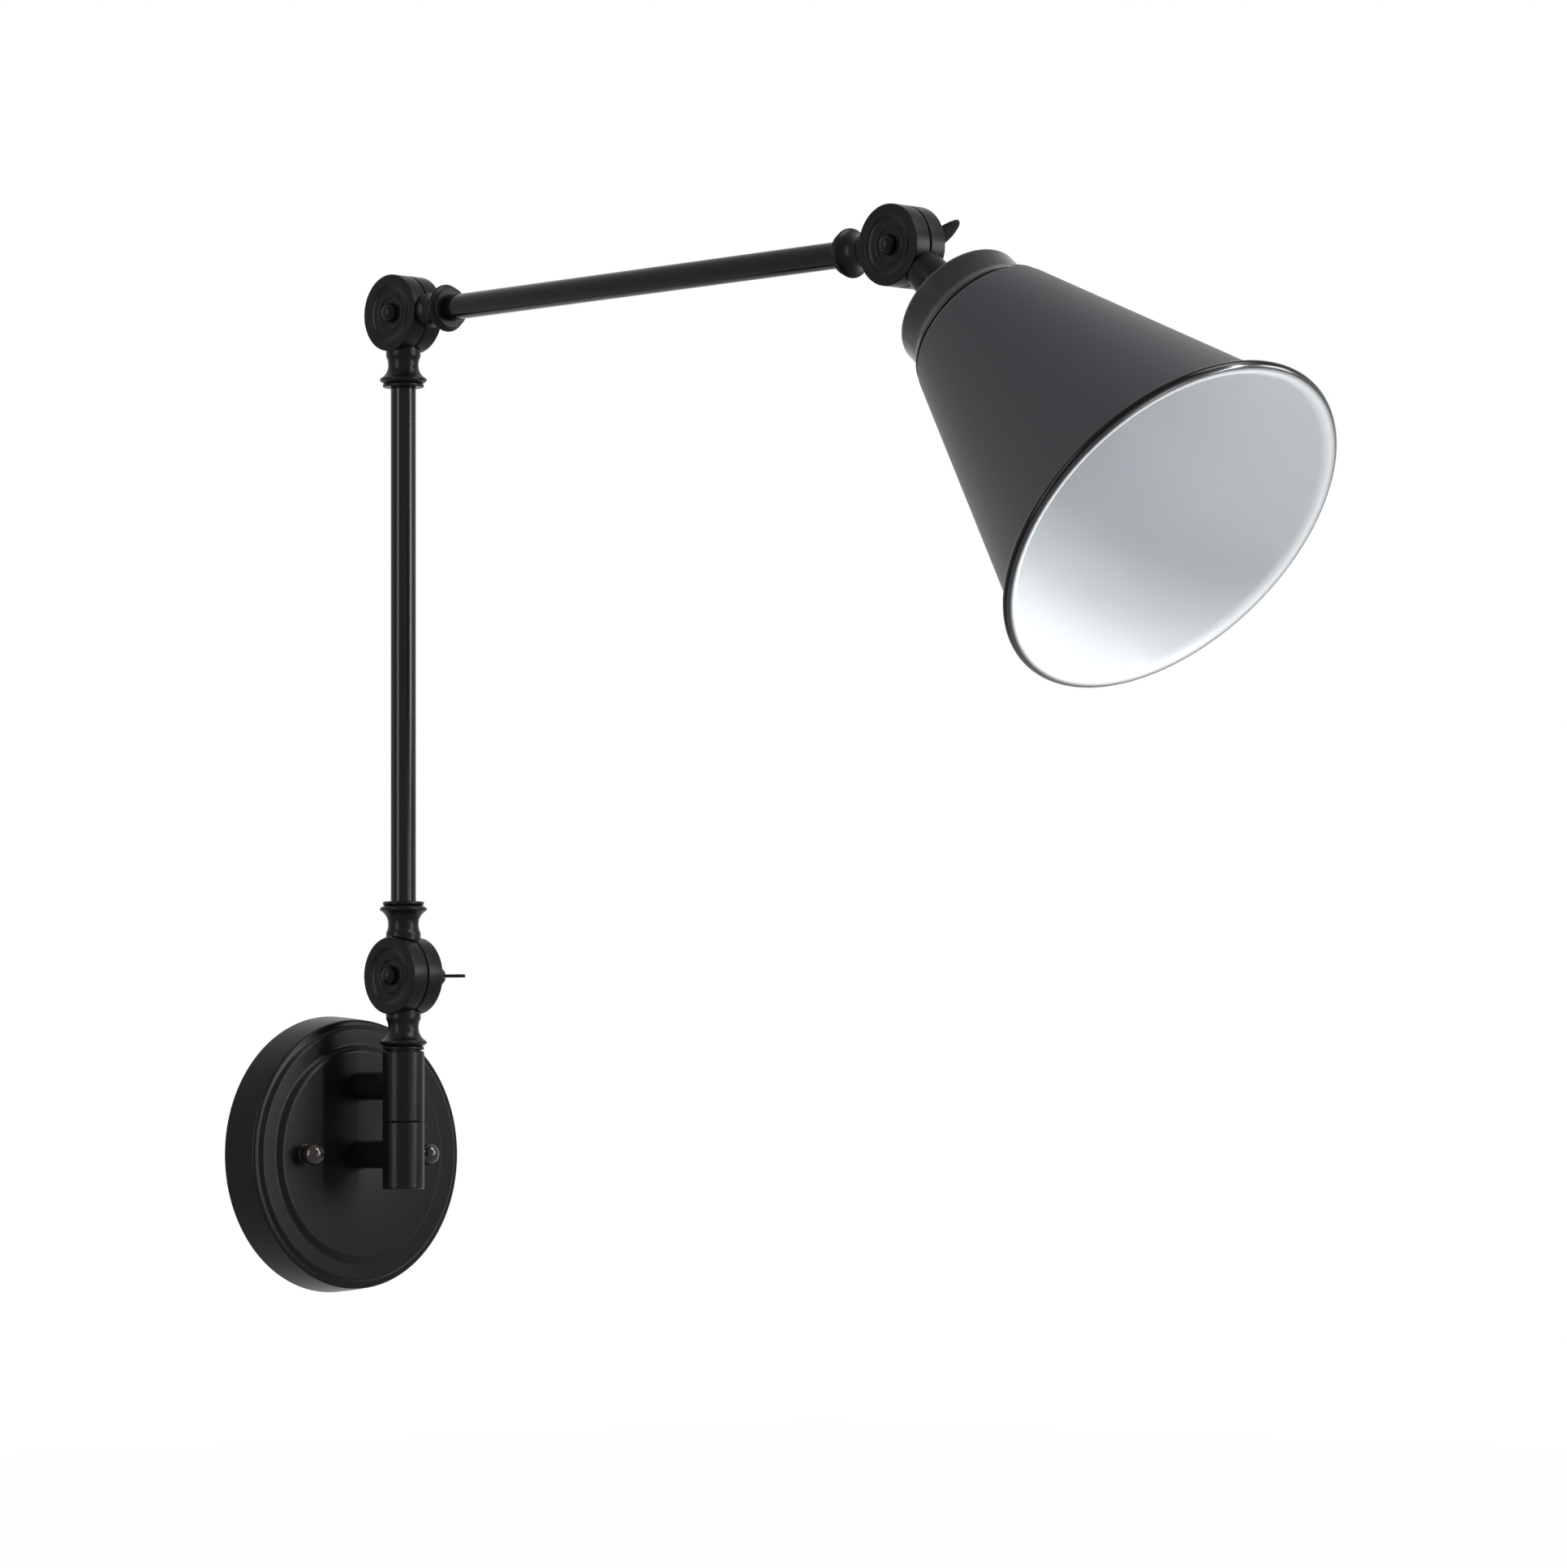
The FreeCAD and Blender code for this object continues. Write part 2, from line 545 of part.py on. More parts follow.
def make_grub_screws():
    """A grub screw in the side of each post, beside the sleeve."""
    name = "post_grub_screws"
    body = new_body(name)
    body.AllowCompound = True
    plan = new_sketch(body, f"{name}_plan", "YZ_Plane", "-(post_radius + grub_proud)")
    ring(plan, "grub_radius", "0", GRUB_OUT)
    ring(plan, "grub_radius", "post_spacing", GRUB_OUT)
    pad(body, f"{name}_pair", plan, "grub_length + grub_proud")
    place(body, tilt="90")
    return body


def make_sleeve(name, length, bottom, recess, wire_hole=None):
    """Swivel sleeve round the spindle, chamfered at both ends."""
    body = new_body(name)
    bore = "(spindle_radius + running_clearance)"
    inside = [(bore, "0")]
    if recess:
        inside = [(bore, "sleeve_recess_depth"), ("sleeve_recess_radius", "sleeve_recess_depth"),
                  ("sleeve_recess_radius", "0")]
    revolve(body, f"{name}_turned", inside + [
        ("sleeve_radius - sleeve_chamfer", "0"),
        ("sleeve_radius", "sleeve_chamfer"),
        ("sleeve_radius", f"{length} - sleeve_chamfer"),
        ("sleeve_radius - sleeve_chamfer", length),
        (bore, length),
    ])
    if wire_hole:
        hole = new_sketch(body, f"{name}_wire_plan", "XZ_Plane")
        ring(hole, "post_bore_radius", "0", wire_hole)
        pocket(body, f"{name}_wire_hole", hole, f"{THROUGH} * sleeve_radius")
    place(body, out="sleeve_reach", up=bottom)
    return body


# ------------------------------------------------------------------ swivel
def make_spindle():
    """Hollow spindle through both sleeves, screwed into the neck above them."""
    name = "swivel_spindle"
    body = new_body(name)
    length = f"sleeve_top + thrust_washer_height + spindle_grip - ({SPINDLE_BOTTOM})"
    revolve(body, f"{name}_turned", [
        ("spindle_bore_radius", "0"),
        ("spindle_radius", "0"),
        ("spindle_radius", length),
        ("spindle_bore_radius", length),
    ])
    window = new_sketch(body, f"{name}_window_plan", "XZ_Plane")
    ring(window, "spindle_bore_radius", "0", f"-({SPINDLE_BOTTOM})")
    pocket(body, f"{name}_window", window, f"{THROUGH} * spindle_radius")
    place(body, out="sleeve_reach", up=SPINDLE_BOTTOM)
    return body


def make_washer(name, outer, inner, height, up):
    """Flat washer on the swivel axis."""
    body = new_body(name)
    revolve(body, f"{name}_turned", [(inner, "0"), (outer, "0"), (outer, height), (inner, height)])
    place(body, out="sleeve_reach", up=up)
    return body


def make_nut(name, flats, bore, height, **where):
    """Plain hexagon nut."""
    body = new_body(name)
    plan = new_sketch(body, f"{name}_plan", "XY_Plane")
    hexagon(plan, flats, bore)
    pad(body, f"{name}_hexagon", plan, height)
    place(body, **where)
    return body


# ------------------------------------------------------------------ knuckles
def make_half(name, bore, grip, square, where):
    """Half of a knuckle: a drum with a turned face, and a turned neck that is scooped out round the
    other half's drum. The drum's face looks along +X and the neck along +Z before it is placed."""
    body = new_body(name)
    face = "knuckle_half_width"
    dish = f"({face} - knuckle_dish_drop)"
    bolt_hole = "bolt_radius" if square else "(bolt_radius + running_clearance)"
    revolve(body, f"{name}_drum", [
        (INNER_FACE, bolt_hole),
        (INNER_FACE, "knuckle_radius"),
        (f"{face} - knuckle_rim_chamfer", "knuckle_radius"),
        (face, "knuckle_radius - knuckle_rim_chamfer"),
        (face, "knuckle_bead_radius + knuckle_bead_width / 2"),
        (dish, "knuckle_bead_radius - knuckle_bead_width / 2", -110),
        (dish, "knuckle_ring_radius + knuckle_ring_width / 2"),
        (dish, "knuckle_ring_radius - knuckle_ring_width / 2", -120),
        (dish, "knuckle_seat_radius"),
        (BOLT_SEAT, "knuckle_seat_radius"),
        (BOLT_SEAT, bolt_hole),
    ], axis="H_Axis")
    flange_edge = f"(neck_flange_radius - neck_flange_width * {BULGE_120:.9f})"
    ring_edge = f"(neck_ring_radius - neck_ring_width * {BULGE_120:.9f})"
    revolve(body, f"{name}_neck", [
        ("0", "neck_root"),
        ("neck_shoulder_radius", "neck_root"),
        ("neck_shoulder_radius", "neck_shoulder_distance"),
        ("neck_waist_radius", "neck_waist_distance", -30),
        (flange_edge, "neck_flange_distance - neck_flange_width / 2", -62),
        (flange_edge, "neck_flange_distance + neck_flange_width / 2", 120),
        ("neck_groove_radius", "neck_length - neck_ring_width"),
        (ring_edge, "neck_length - neck_ring_width"),
        (ring_edge, "neck_length", 120),
        ("0", "neck_length"),
    ])
    scoop = new_sketch(body, f"{name}_scoop_plan", "YZ_Plane", INNER_FACE)
    ring(scoop, "knuckle_radius + knuckle_scoop_clearance")
    pocket(body, f"{name}_scoop", scoop, f"{THROUGH} * knuckle_half_width")
    socket = new_sketch(body, f"{name}_socket_plan", "XY_Plane", "neck_length")
    ring(socket, bore)
    pocket(body, f"{name}_socket", socket, grip)
    if square:
        plan = new_sketch(body, f"{name}_square_plan", "YZ_Plane", BOLT_SEAT)
        outline(plan, [
            ("bolt_radius", "-bolt_radius"),
            ("bolt_radius", "bolt_radius"),
            ("-bolt_radius", "bolt_radius"),
            ("-bolt_radius", "-bolt_radius"),
        ])
        pocket(body, f"{name}_square_hole", plan, f"{BOLT_SEAT} - {INNER_FACE}")
    place(body, **where)
    return body


def make_bolt(name, where):
    """Clamp bolt: a domed head, a square neck that keeps it from turning, and a plain shank."""
    body = new_body(name)
    seat = f"({BOLT_END} + {BOLT_SEAT})"
    revolve(body, f"{name}_turned", [
        ("0", "0"),
        ("0", "bolt_radius"),
        (seat, "bolt_radius"),
        (seat, "bolt_head_radius"),
        (f"{seat} + bolt_head_skirt", "bolt_head_radius"),
        (f"{seat} + bolt_head_skirt + {dome('bolt_head_radius', 75)}", "0", -75),
    ], axis="H_Axis")
    plan = new_sketch(body, f"{name}_square_plan", "YZ_Plane", f"{BOLT_END} + {INNER_FACE}")
    outline(plan, [
        ("bolt_radius", "-bolt_radius"),
        ("bolt_radius", "bolt_radius"),
        ("-bolt_radius", "bolt_radius"),
        ("-bolt_radius", "-bolt_radius"),
    ])
    pad(body, f"{name}_square", plan, f"{BOLT_SEAT} - {INNER_FACE}")
    place(body, across=BOLT_END, spin="180", **where)
    return body


def make_axle_washer(name, outer, inner, start, thickness, where):
    """Washer on a knuckle's axis."""
    body = new_body(name)
    revolve(body, f"{name}_turned", [
        ("0", inner), ("0", outer), (thickness, outer), (thickness, inner),
    ], axis="H_Axis")
    place(body, across=start, **where)
    return body


def make_wing_nut(name, tilt, where):
    """Wing nut: a tapered hub and two thin ears that splay outwards."""
    body = new_body(name)
    bore = "(bolt_radius + running_clearance)"
    revolve(body, f"{name}_hub", [
        ("0", bore), ("0", "wing_hub_radius"),
        ("wing_hub_height", "wing_hub_top_radius"), ("wing_hub_height", bore),
    ], axis="H_Axis")
    plan = new_sketch(body, f"{name}_ear_plan", "XZ_Plane")
    inside = "(wing_hub_top_radius + bolt_radius) / 2"
    outline(plan, [
        ("wing_root_height", inside),
        ("wing_root_height", "wing_hub_radius"),
        ("wing_height - wing_tip_width", "wing_span_radius", -38),
        ("wing_height", "wing_span_radius - wing_tip_set", -110),
        ("wing_hub_height", "wing_hub_top_radius", 60),
        ("wing_hub_height", inside),
    ])
    ear = pad(body, f"{name}_ear", plan, "wing_thickness", both_ways=True)
    ears = body.newObject("PartDesign::Mirrored", f"{name}_ears")
    ears.Originals = [ear]
    ears.MirrorPlane = (plane_of(body, "XY_Plane"), [""])
    body.Tip = ears
    place(body, across=WING_BASE, tilt=tilt, **where)
    return body


def make_knuckle(stem, where, wall_side, far_side, ear_tilt):
    """A whole knuckle. Each side is (name, bore, grip, tilt of its neck): the wall side holds the bolt,
    the far side turns on it, and the wing nut clamps the two on a fibre washer."""
    name, bore, grip, tilt = wall_side
    make_half(name, bore, grip, True, dict(tilt=tilt, spin="180", **where))
    make_bolt(f"{stem}_clamp_bolt", dict(tilt=tilt, **where))
    make_axle_washer(f"{stem}_friction_washer", "friction_washer_radius", "bolt_radius",
                     f"-{INNER_FACE}", "knuckle_seam", where)
    name, bore, grip, tilt = far_side
    make_half(name, bore, grip, False, dict(tilt=tilt, **where))
    make_axle_washer(f"{stem}_clamp_washer", "clamp_washer_radius", "bolt_radius + running_clearance",
                     BOLT_SEAT, "clamp_washer_height", where)
    make_wing_nut(f"{stem}_wing_nut", ear_tilt, where)


def make_tube(name, arm, where):
    """Arm tube, let into the necks at both ends."""
    body = new_body(name)
    length = f"({arm} - 2 * (neck_length - tube_grip))"
    bore = "tube_radius - tube_wall"
    revolve(body, f"{name}_drawn", [
        (bore, "0"), ("tube_radius", "0"), ("tube_radius", length), (bore, length),
    ])
    place(body, **where)
    return body


# ------------------------------------------------------------------ head
def turned_on_head(name, corners):
    """A piece turned about the shade's axis, measured from the head knuckle's centre."""
    body = new_body(name)
    revolve(body, f"{name}_turned", corners)
    place(body, tilt=HEAD_TILT, **HEAD)
    return body


def make_shade_cap():
    """Shallow cup behind the shade: a domed back, a rounded edge, a flared wall and a bead."""
    return turned_on_head("shade_cap", [
        ("nipple_radius", "neck_length"),
        ("neck_ring_radius", "neck_length"),
        ("cap_back_radius - cap_edge_round", CAP_BACK, 14),
        ("cap_back_radius", f"{CAP_BACK} + cap_edge_round", 60),
        ("cap_neck_radius", f"{CAP_FRONT} - cap_bead_width", -8),
        ("cap_bead_radius", f"{CAP_FRONT} - cap_bead_width / 2", 70),
        ("cap_neck_radius", CAP_FRONT, 70),
        ("cap_neck_radius - cap_wall", CAP_FRONT),
        ("cap_back_radius - cap_wall", f"{CAP_BACK} + cap_edge_round"),
        ("cap_back_radius - cap_edge_round", f"{CAP_BACK} + cap_wall", -60),
        ("neck_ring_radius", CAP_SEAT, -14),
        ("nipple_radius", CAP_SEAT),
    ])


def make_shade():
    """Spun cone shade: a flat top with a hole for the holder, a rounded shoulder, a straight cone and a
    flared lip with a rolled edge."""
    flare = f"{SHADE_MOUTH} - shade_lip_height"
    return turned_on_head("shade", [
        ("holder_radius + shade_hole_clearance", CAP_FRONT),
        ("shade_top_radius", CAP_FRONT),
        ("shade_shoulder_radius", f"{CAP_FRONT} + shade_shoulder_height", 70),
        ("shade_cone_radius", flare),
        ("shade_mouth_radius - shade_roll / 2", f"{SHADE_MOUTH} - shade_roll", -40),
        ("shade_mouth_radius", f"{SHADE_MOUTH} - shade_roll / 2", 80),
        ("shade_mouth_radius - shade_roll", SHADE_MOUTH, 90),
        ("shade_cone_radius - shade_wall", flare, 40),
        ("shade_shoulder_radius - shade_wall", f"{CAP_FRONT} + shade_shoulder_height"),
        ("shade_top_radius", f"{CAP_FRONT} + shade_wall", -70),
        ("holder_radius + shade_hole_clearance", f"{CAP_FRONT} + shade_wall"),
    ])


def make_lamp_holder():
    """Porcelain lamp holder: a boss on the nipple, a solid base, a well for the contact and, on a shelf
    above it, room for the screw shell."""
    return turned_on_head("lamp_holder", [
        ("nipple_radius", HOLDER_BACK),
        ("holder_boss_radius", HOLDER_BACK),
        ("holder_boss_radius", f"{HOLDER_BACK} + holder_boss_height"),
        ("holder_radius", HOLDER_FLOOR),
        ("holder_radius", HOLDER_FRONT),
        ("shell_radius", HOLDER_FRONT),
        ("shell_radius", HOLDER_SHELF),
        ("holder_well_radius", HOLDER_SHELF),
        ("holder_well_radius", HOLDER_FLOOR),
        ("nipple_bore_radius", HOLDER_FLOOR),
        ("nipple_bore_radius", f"{HOLDER_BACK} + holder_nipple_depth"),
        ("nipple_radius", f"{HOLDER_BACK} + holder_nipple_depth"),
    ])


def make_head_fittings():
    """The nipple and its nut, the screw shell, the centre contact and the ring that clamps the shade."""
    nipple_start = "neck_length - nipple_grip"
    nipple_end = f"{HOLDER_BACK} + holder_nipple_depth"
    turned_on_head("head_nipple", [
        ("nipple_bore_radius", nipple_start), ("nipple_radius", nipple_start),
        ("nipple_radius", nipple_end), ("nipple_bore_radius", nipple_end),
    ])
    nut = new_body("nipple_nut")
    plan = new_sketch(nut, "nipple_nut_plan", "XY_Plane", CAP_SEAT)
    hexagon(plan, "nipple_nut_flats", "nipple_radius")
    pad(nut, "nipple_nut_hexagon", plan, "nipple_nut_height")
    place(nut, tilt=HEAD_TILT, **HEAD)
    turned_on_head("screw_shell", [
        ("shell_radius - shell_wall", HOLDER_SHELF), ("shell_radius", HOLDER_SHELF),
        ("shell_radius", f"{HOLDER_FRONT} - holder_lip"),
        ("shell_radius - shell_wall", f"{HOLDER_FRONT} - holder_lip"),
    ])
    plate_top = f"{HOLDER_FLOOR} + contact_plate"
    turned_on_head("centre_contact", [
        ("0", HOLDER_FLOOR), ("contact_radius", HOLDER_FLOOR), ("contact_radius", plate_top),
        ("contact_button_radius", plate_top),
        ("0", f"{plate_top} + {dome('contact_button_radius', 55)}", 55),
    ])
    inside = f"({CAP_FRONT} + shade_wall)"
    turned_on_head("shade_ring", [
        ("holder_radius", inside), ("holder_ring_radius", inside),
        ("holder_ring_radius", f"{inside} + holder_ring_flange"),
        ("holder_ring_collar", f"{inside} + holder_ring_flange"),
        ("holder_ring_collar", f"{inside} + holder_ring_height"),
        ("holder_radius", f"{inside} + holder_ring_height"),
    ])


# ------------------------------------------------------------------ the lamp
LOWER_KNUCKLE = dict(out="sleeve_reach", up=KNUCKLE_HEIGHT)
ELBOW = dict(out="sleeve_reach", up=ELBOW_HEIGHT)
HEAD = dict(out=HEAD_REACH, up=ELBOW_HEIGHT)
HEAD_TILT = "(90 + shade_tilt)"
GRUB_OUT = "(sleeve_reach - sleeve_radius - grub_setback)"
SPINDLE_NUT_UP = "(sleeve_recess_depth - sleeve_bottom - spindle_washer_height - spindle_nut_height)"
SPINDLE_BOTTOM = f"({SPINDLE_NUT_UP} - 1)"
BULGE_120 = math.tan(math.radians(120 / 4)) / 2

make_canopy()
make_bracket()
make_studs()
make_stud_nuts()
make_cap_nuts()
make_ground_screw()
make_post("lower_post", "0", hollow=True)
make_post("upper_post", "post_spacing", hollow=False)
make_post_nuts()
make_grub_screws()
make_sleeve("lower_sleeve", "(sleeve_bottom + sleeve_seam)", "-sleeve_bottom", True, "sleeve_bottom")
make_sleeve("upper_sleeve", "(sleeve_top - sleeve_seam)", "sleeve_seam", False)

make_spindle()
make_washer("thrust_washer", "thrust_washer_radius", "spindle_radius", "thrust_washer_height", "sleeve_top")
make_washer("spindle_washer", "spindle_washer_radius", "spindle_radius", "spindle_washer_height",
            "sleeve_recess_depth - sleeve_bottom - spindle_washer_height")
make_nut("spindle_nut", "spindle_nut_flats", "spindle_radius", "spindle_nut_height",
         out="sleeve_reach", up=SPINDLE_NUT_UP)

make_knuckle("lower", LOWER_KNUCKLE,
             ("lower_knuckle_front", "spindle_radius", "spindle_grip", "180"),
             ("lower_knuckle_back", "tube_radius", "tube_grip", "0"), "90")
make_tube("lower_arm_tube", "lower_arm_length",
          dict(out="sleeve_reach", up=f"{KNUCKLE_HEIGHT} + neck_length - tube_grip"))
make_knuckle("elbow", ELBOW,
             ("elbow_front", "tube_radius", "tube_grip", "180"),
             ("elbow_back", "tube_radius", "tube_grip", "90"), "90")
make_tube("upper_arm_tube", "upper_arm_length",
          dict(out="sleeve_reach + neck_length - tube_grip", up=ELBOW_HEIGHT, tilt="90"))
make_knuckle("head", HEAD,
             ("head_knuckle_front", "tube_radius", "tube_grip", "-90"),
             ("head_knuckle_back", "nipple_radius", "nipple_grip", HEAD_TILT), "90 - head_wing_tilt")
make_shade_cap()
make_shade()
make_lamp_holder()
make_head_fittings()


def write_parts():
    """Recompute, check every object and write one file for each body."""
    DOC.recompute()
    failed = [thing.Label for thing in DOC.Objects if {"Invalid", "Error"} & set(thing.State)]
    if failed:
        raise ValueError(f"failed objects: {failed}")
    os.makedirs("parts", exist_ok=True)
    for body in DOC.findObjects("PartDesign::Body"):
        shape = body.Shape
        if shape.isNull() or not shape.isValid() or not shape.Solids:
            raise ValueError(f"{body.Label} has no valid solid")
        shape.exportStep(f"parts/{body.Label}.step")
        print(f"{body.Label}: {len(shape.Solids)} solid, {shape.Volume / 1000:.2f} cm3")


write_parts()
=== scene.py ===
# %% [markdown]
# # An articulating wall lamp
#
# The lamp hangs on a wall plate, reaches out on two tube arms and ends in a cone shade. Its working
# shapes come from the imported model, which stays as it is. This lesson dresses that model: each visible
# piece is worked out again as a fine surface with softened edges, and given the finish of the real one.
#
# Lengths are in millimetres while a piece is worked out, and become metres when its mesh is made.

import json
import math

import bpy
import numpy as np
from mathutils import Matrix, Vector


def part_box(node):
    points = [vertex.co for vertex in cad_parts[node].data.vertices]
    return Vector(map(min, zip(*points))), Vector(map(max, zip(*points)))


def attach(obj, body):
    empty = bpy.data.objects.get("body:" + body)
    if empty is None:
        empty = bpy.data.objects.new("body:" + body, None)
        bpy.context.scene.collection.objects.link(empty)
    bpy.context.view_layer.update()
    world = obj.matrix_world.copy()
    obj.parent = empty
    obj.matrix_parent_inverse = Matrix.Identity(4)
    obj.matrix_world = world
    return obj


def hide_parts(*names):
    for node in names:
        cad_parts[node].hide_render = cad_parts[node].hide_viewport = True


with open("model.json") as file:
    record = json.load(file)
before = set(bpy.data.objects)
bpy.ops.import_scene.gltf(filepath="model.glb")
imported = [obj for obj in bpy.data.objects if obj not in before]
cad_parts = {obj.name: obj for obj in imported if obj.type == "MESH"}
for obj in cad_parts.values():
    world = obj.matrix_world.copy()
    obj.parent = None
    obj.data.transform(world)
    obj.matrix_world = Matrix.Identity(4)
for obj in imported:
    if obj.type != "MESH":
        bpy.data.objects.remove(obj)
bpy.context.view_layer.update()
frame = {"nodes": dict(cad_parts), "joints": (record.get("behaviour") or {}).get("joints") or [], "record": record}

MM = 0.001
NODES = frame["nodes"]
BODIES = frame["record"]["behaviour"]["bodies"]
BODY_OF = {node: body for body, members in BODIES.items() for node in members}
SLOT_OF = {part["node"]: part["material_slot"] for part in frame["record"]["subparts"]}

# %% [markdown]
# The frame knows where the joints are, so the axes of the swivel and of the three knuckles are read
# from it instead of being written down again.

# %% Places taken from the frame
HINGE = {joint["name"]: np.array(joint["pos_m"]) / MM for joint in frame["joints"]}
SWIVEL = HINGE["base_swivel"]
LOWER_KNUCKLE = HINGE["lower_tilt"]
ELBOW = HINGE["elbow_tilt"]
HEAD = HINGE["head_tilt"]
UP, OUT, ACROSS = np.array([0.0, 0, 1]), np.array([0.0, -1, 0]), np.array([1.0, 0, 0])

bulb_axis = next(m["axis"] for m in frame["record"]["mounts"] if m["name"] == "bulb_socket")
SHADE_AXIS = np.array(bulb_axis) / np.linalg.norm(bulb_axis)


def extent(node, direction):
    """Lowest and highest place of a node along an axis of the frame, in millimetres."""
    low, high = (np.array(corner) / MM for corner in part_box(node))
    ends = np.array([low @ direction, high @ direction])
    return ends.min(), ends.max()


print("knuckles at", LOWER_KNUCKLE, ELBOW, HEAD)

# %% [markdown]
# ## Turned pieces
#
# Nearly everything on this lamp is turned on a lathe or spun over a form, so one helper makes most of
# it: an outline of radius and height, carried round an axis. A lathe breaks every edge a little, and it
# is that small round that catches the light, so the outline's corners are softened before it is turned.

# %% An outline with arcs and softened corners
ARC_STEP = 5.0        # degrees between two points of an arc
CORNER = 11.0         # degrees of turn above which a point is a corner
CORNER_POINTS = 5


def arc_at(start, end, turn, u):
    """Points at shares u of the arc from start to end that turns left through so many degrees.

    The centre is the middle of the chord, plus the chord turned left and divided by twice the tangent
    of half the turn. Each point is start turned about that centre."""
    half = math.radians(turn) / 2
    chord = end - start
    centre = (start + end) / 2 + np.array([-chord[1], chord[0]]) / (2 * math.tan(half))
    spoke, angle = start - centre, 2 * half * u
    return centre + np.stack([spoke[0] * np.cos(angle) - spoke[1] * np.sin(angle),
                              spoke[0] * np.sin(angle) + spoke[1] * np.cos(angle)], axis=-1)


def arc(start, end, turn):
    """Points after start on that arc, a few degrees from one to the next."""
    steps = max(3, math.ceil(abs(turn) / ARC_STEP))
    return arc_at(start, end, turn, np.linspace(0, 1, steps + 1)[1:])


def soften(points, edge, closed):
    """Each corner P becomes the curve (1-s)^2 A + 2s(1-s) P + s^2 B, with A and B on its two sides, an
    edge away, or nearly half of the side where that is shorter."""
    back = np.roll(points, 1, axis=0) - points
    ahead = np.roll(points, -1, axis=0) - points
    back_length = np.linalg.norm(back, axis=1) + 1e-12
    ahead_length = np.linalg.norm(ahead, axis=1) + 1e-12
    cosine = -(back * ahead).sum(1) / (back_length * ahead_length)
    sharp = np.degrees(np.arccos(np.clip(cosine, -1, 1))) > CORNER
    if not closed:
        sharp[[0, -1]] = False
    reach = np.minimum(edge, 0.45 * np.minimum(back_length, ahead_length))
    first = points + back * (reach / back_length)[:, None]
    last = points + ahead * (reach / ahead_length)[:, None]
    s = np.linspace(0, 1, CORNER_POINTS)[None, :, None]
    curve = (1 - s) ** 2 * first[:, None] + 2 * s * (1 - s) * points[:, None] + s ** 2 * last[:, None]
    kept = np.ones(curve.shape[:2], bool)
    kept[~sharp, 1:] = False
    return np.where(sharp[:, None, None], curve, points[:, None])[kept]


def outline(corners, edge=0.25, closed=False):
    """An array of points through corners (radius, height), or (radius, height, turn) where an arc of
    that many degrees, left if positive, leads to the corner."""
    points = [np.array(corners[0][:2], float)]
    for corner in corners[1:]:
        end = np.array(corner[:2], float)
        turn = corner[2] if len(corner) > 2 else 0
        points.extend(arc(points[-1], end, turn) if turn else [end])
    return soften(np.array(points), edge, closed)


# %% [markdown]
# A surface on a grid needs little more than its corner points and the order in which four of them make
# a face. Where an outline meets the axis, its ring shrinks to one point, and the faces there are
# triangles, so the pole is closed.

# %% From a grid of points to a mesh
def build(name, points, faces, smooth_below=40):
    """A mesh object at the origin, from points in millimetres. Edges sharper than that many degrees
    stay crisp."""
    mesh = bpy.data.meshes.new(name)
    mesh.from_pydata((np.asarray(points) * MM).tolist(), [], faces)
    mesh.validate()
    mesh.shade_smooth()
    mesh.set_sharp_from_angle(angle=math.radians(smooth_below))
    piece = bpy.data.objects.new(name, mesh)
    bpy.context.scene.collection.objects.link(piece)
    return piece


def grid_faces(rows, columns, wrap_rows, flip):
    """Faces between the points of a grid whose columns always join up, and whose rows do on request."""
    row = np.arange(rows if wrap_rows else rows - 1)[:, None]
    column = np.arange(columns)[None, :]
    next_row, next_column = (row + 1) % rows, (column + 1) % columns
    corners = [row * columns + column, row * columns + next_column,
               next_row * columns + next_column, next_row * columns + column]
    if flip:
        corners.reverse()
    return np.stack(np.broadcast_arrays(*corners), axis=-1).reshape(-1, 4)


def axes(along, sideways=None):
    """Three directions at right angles: across, aside and along, in a right-handed order."""
    along = np.asarray(along, float) / np.linalg.norm(along)
    if sideways is None:
        sideways = ACROSS if abs(along @ ACROSS) < 0.9 else UP
    aside = np.cross(along, sideways)
    aside /= np.linalg.norm(aside)
    return np.cross(aside, along), aside, along


def turn_points(points, around, origin, along, reshape=None):
    """origin + radius (cos a across + sin a aside) + height along, for every outline point and angle a.
    reshape may move the points (x, y, z) of that local frame before they are placed."""
    angle = np.linspace(0, 2 * np.pi, around, endpoint=False)
    x = points[:, :1] * np.cos(angle)
    y = points[:, :1] * np.sin(angle)
    z = np.broadcast_to(points[:, 1:], x.shape)
    if reshape is not None:
        x, y, z = reshape(x, y, z)
    across, aside, along = axes(along)
    return origin + x[..., None] * across + y[..., None] * aside + z[..., None] * along


def turned(name, corners, origin, along, around=96, edge=0.25, closed=False, reshape=None):
    """A turned piece. The outline runs round the solid either way; its signed area says which."""
    points = outline(corners, edge, closed)
    ahead = np.roll(points, -1, axis=0)
    area = (points[:, 0] * ahead[:, 1] - ahead[:, 0] * points[:, 1]).sum()
    surface = turn_points(points, around, np.asarray(origin, float), along, reshape)
    faces = grid_faces(len(points), around, closed, flip=area < 0)
    flat = surface.reshape(-1, 3)
    if not closed:
        flat, faces = close_poles(flat, faces, points[:, 0] < 1e-9, around)
    return build(name, flat, [list(dict.fromkeys(face)) for face in faces.tolist()])


def close_poles(flat, faces, on_axis, around):
    """Each ring that lies on the axis is replaced by its first point."""
    owner = np.arange(len(flat))
    for ring in np.flatnonzero(on_axis):
        owner[ring * around:(ring + 1) * around] = ring * around
    used, number = np.unique(owner, return_inverse=True)
    return flat[used], number.reshape(-1)[faces]


# %% [markdown]
# Some pieces are one casting but two shapes, such as a knuckle's drum with its neck. They are turned
# apart and joined with a boolean, whose result becomes the mesh, so no modifier is left on them.

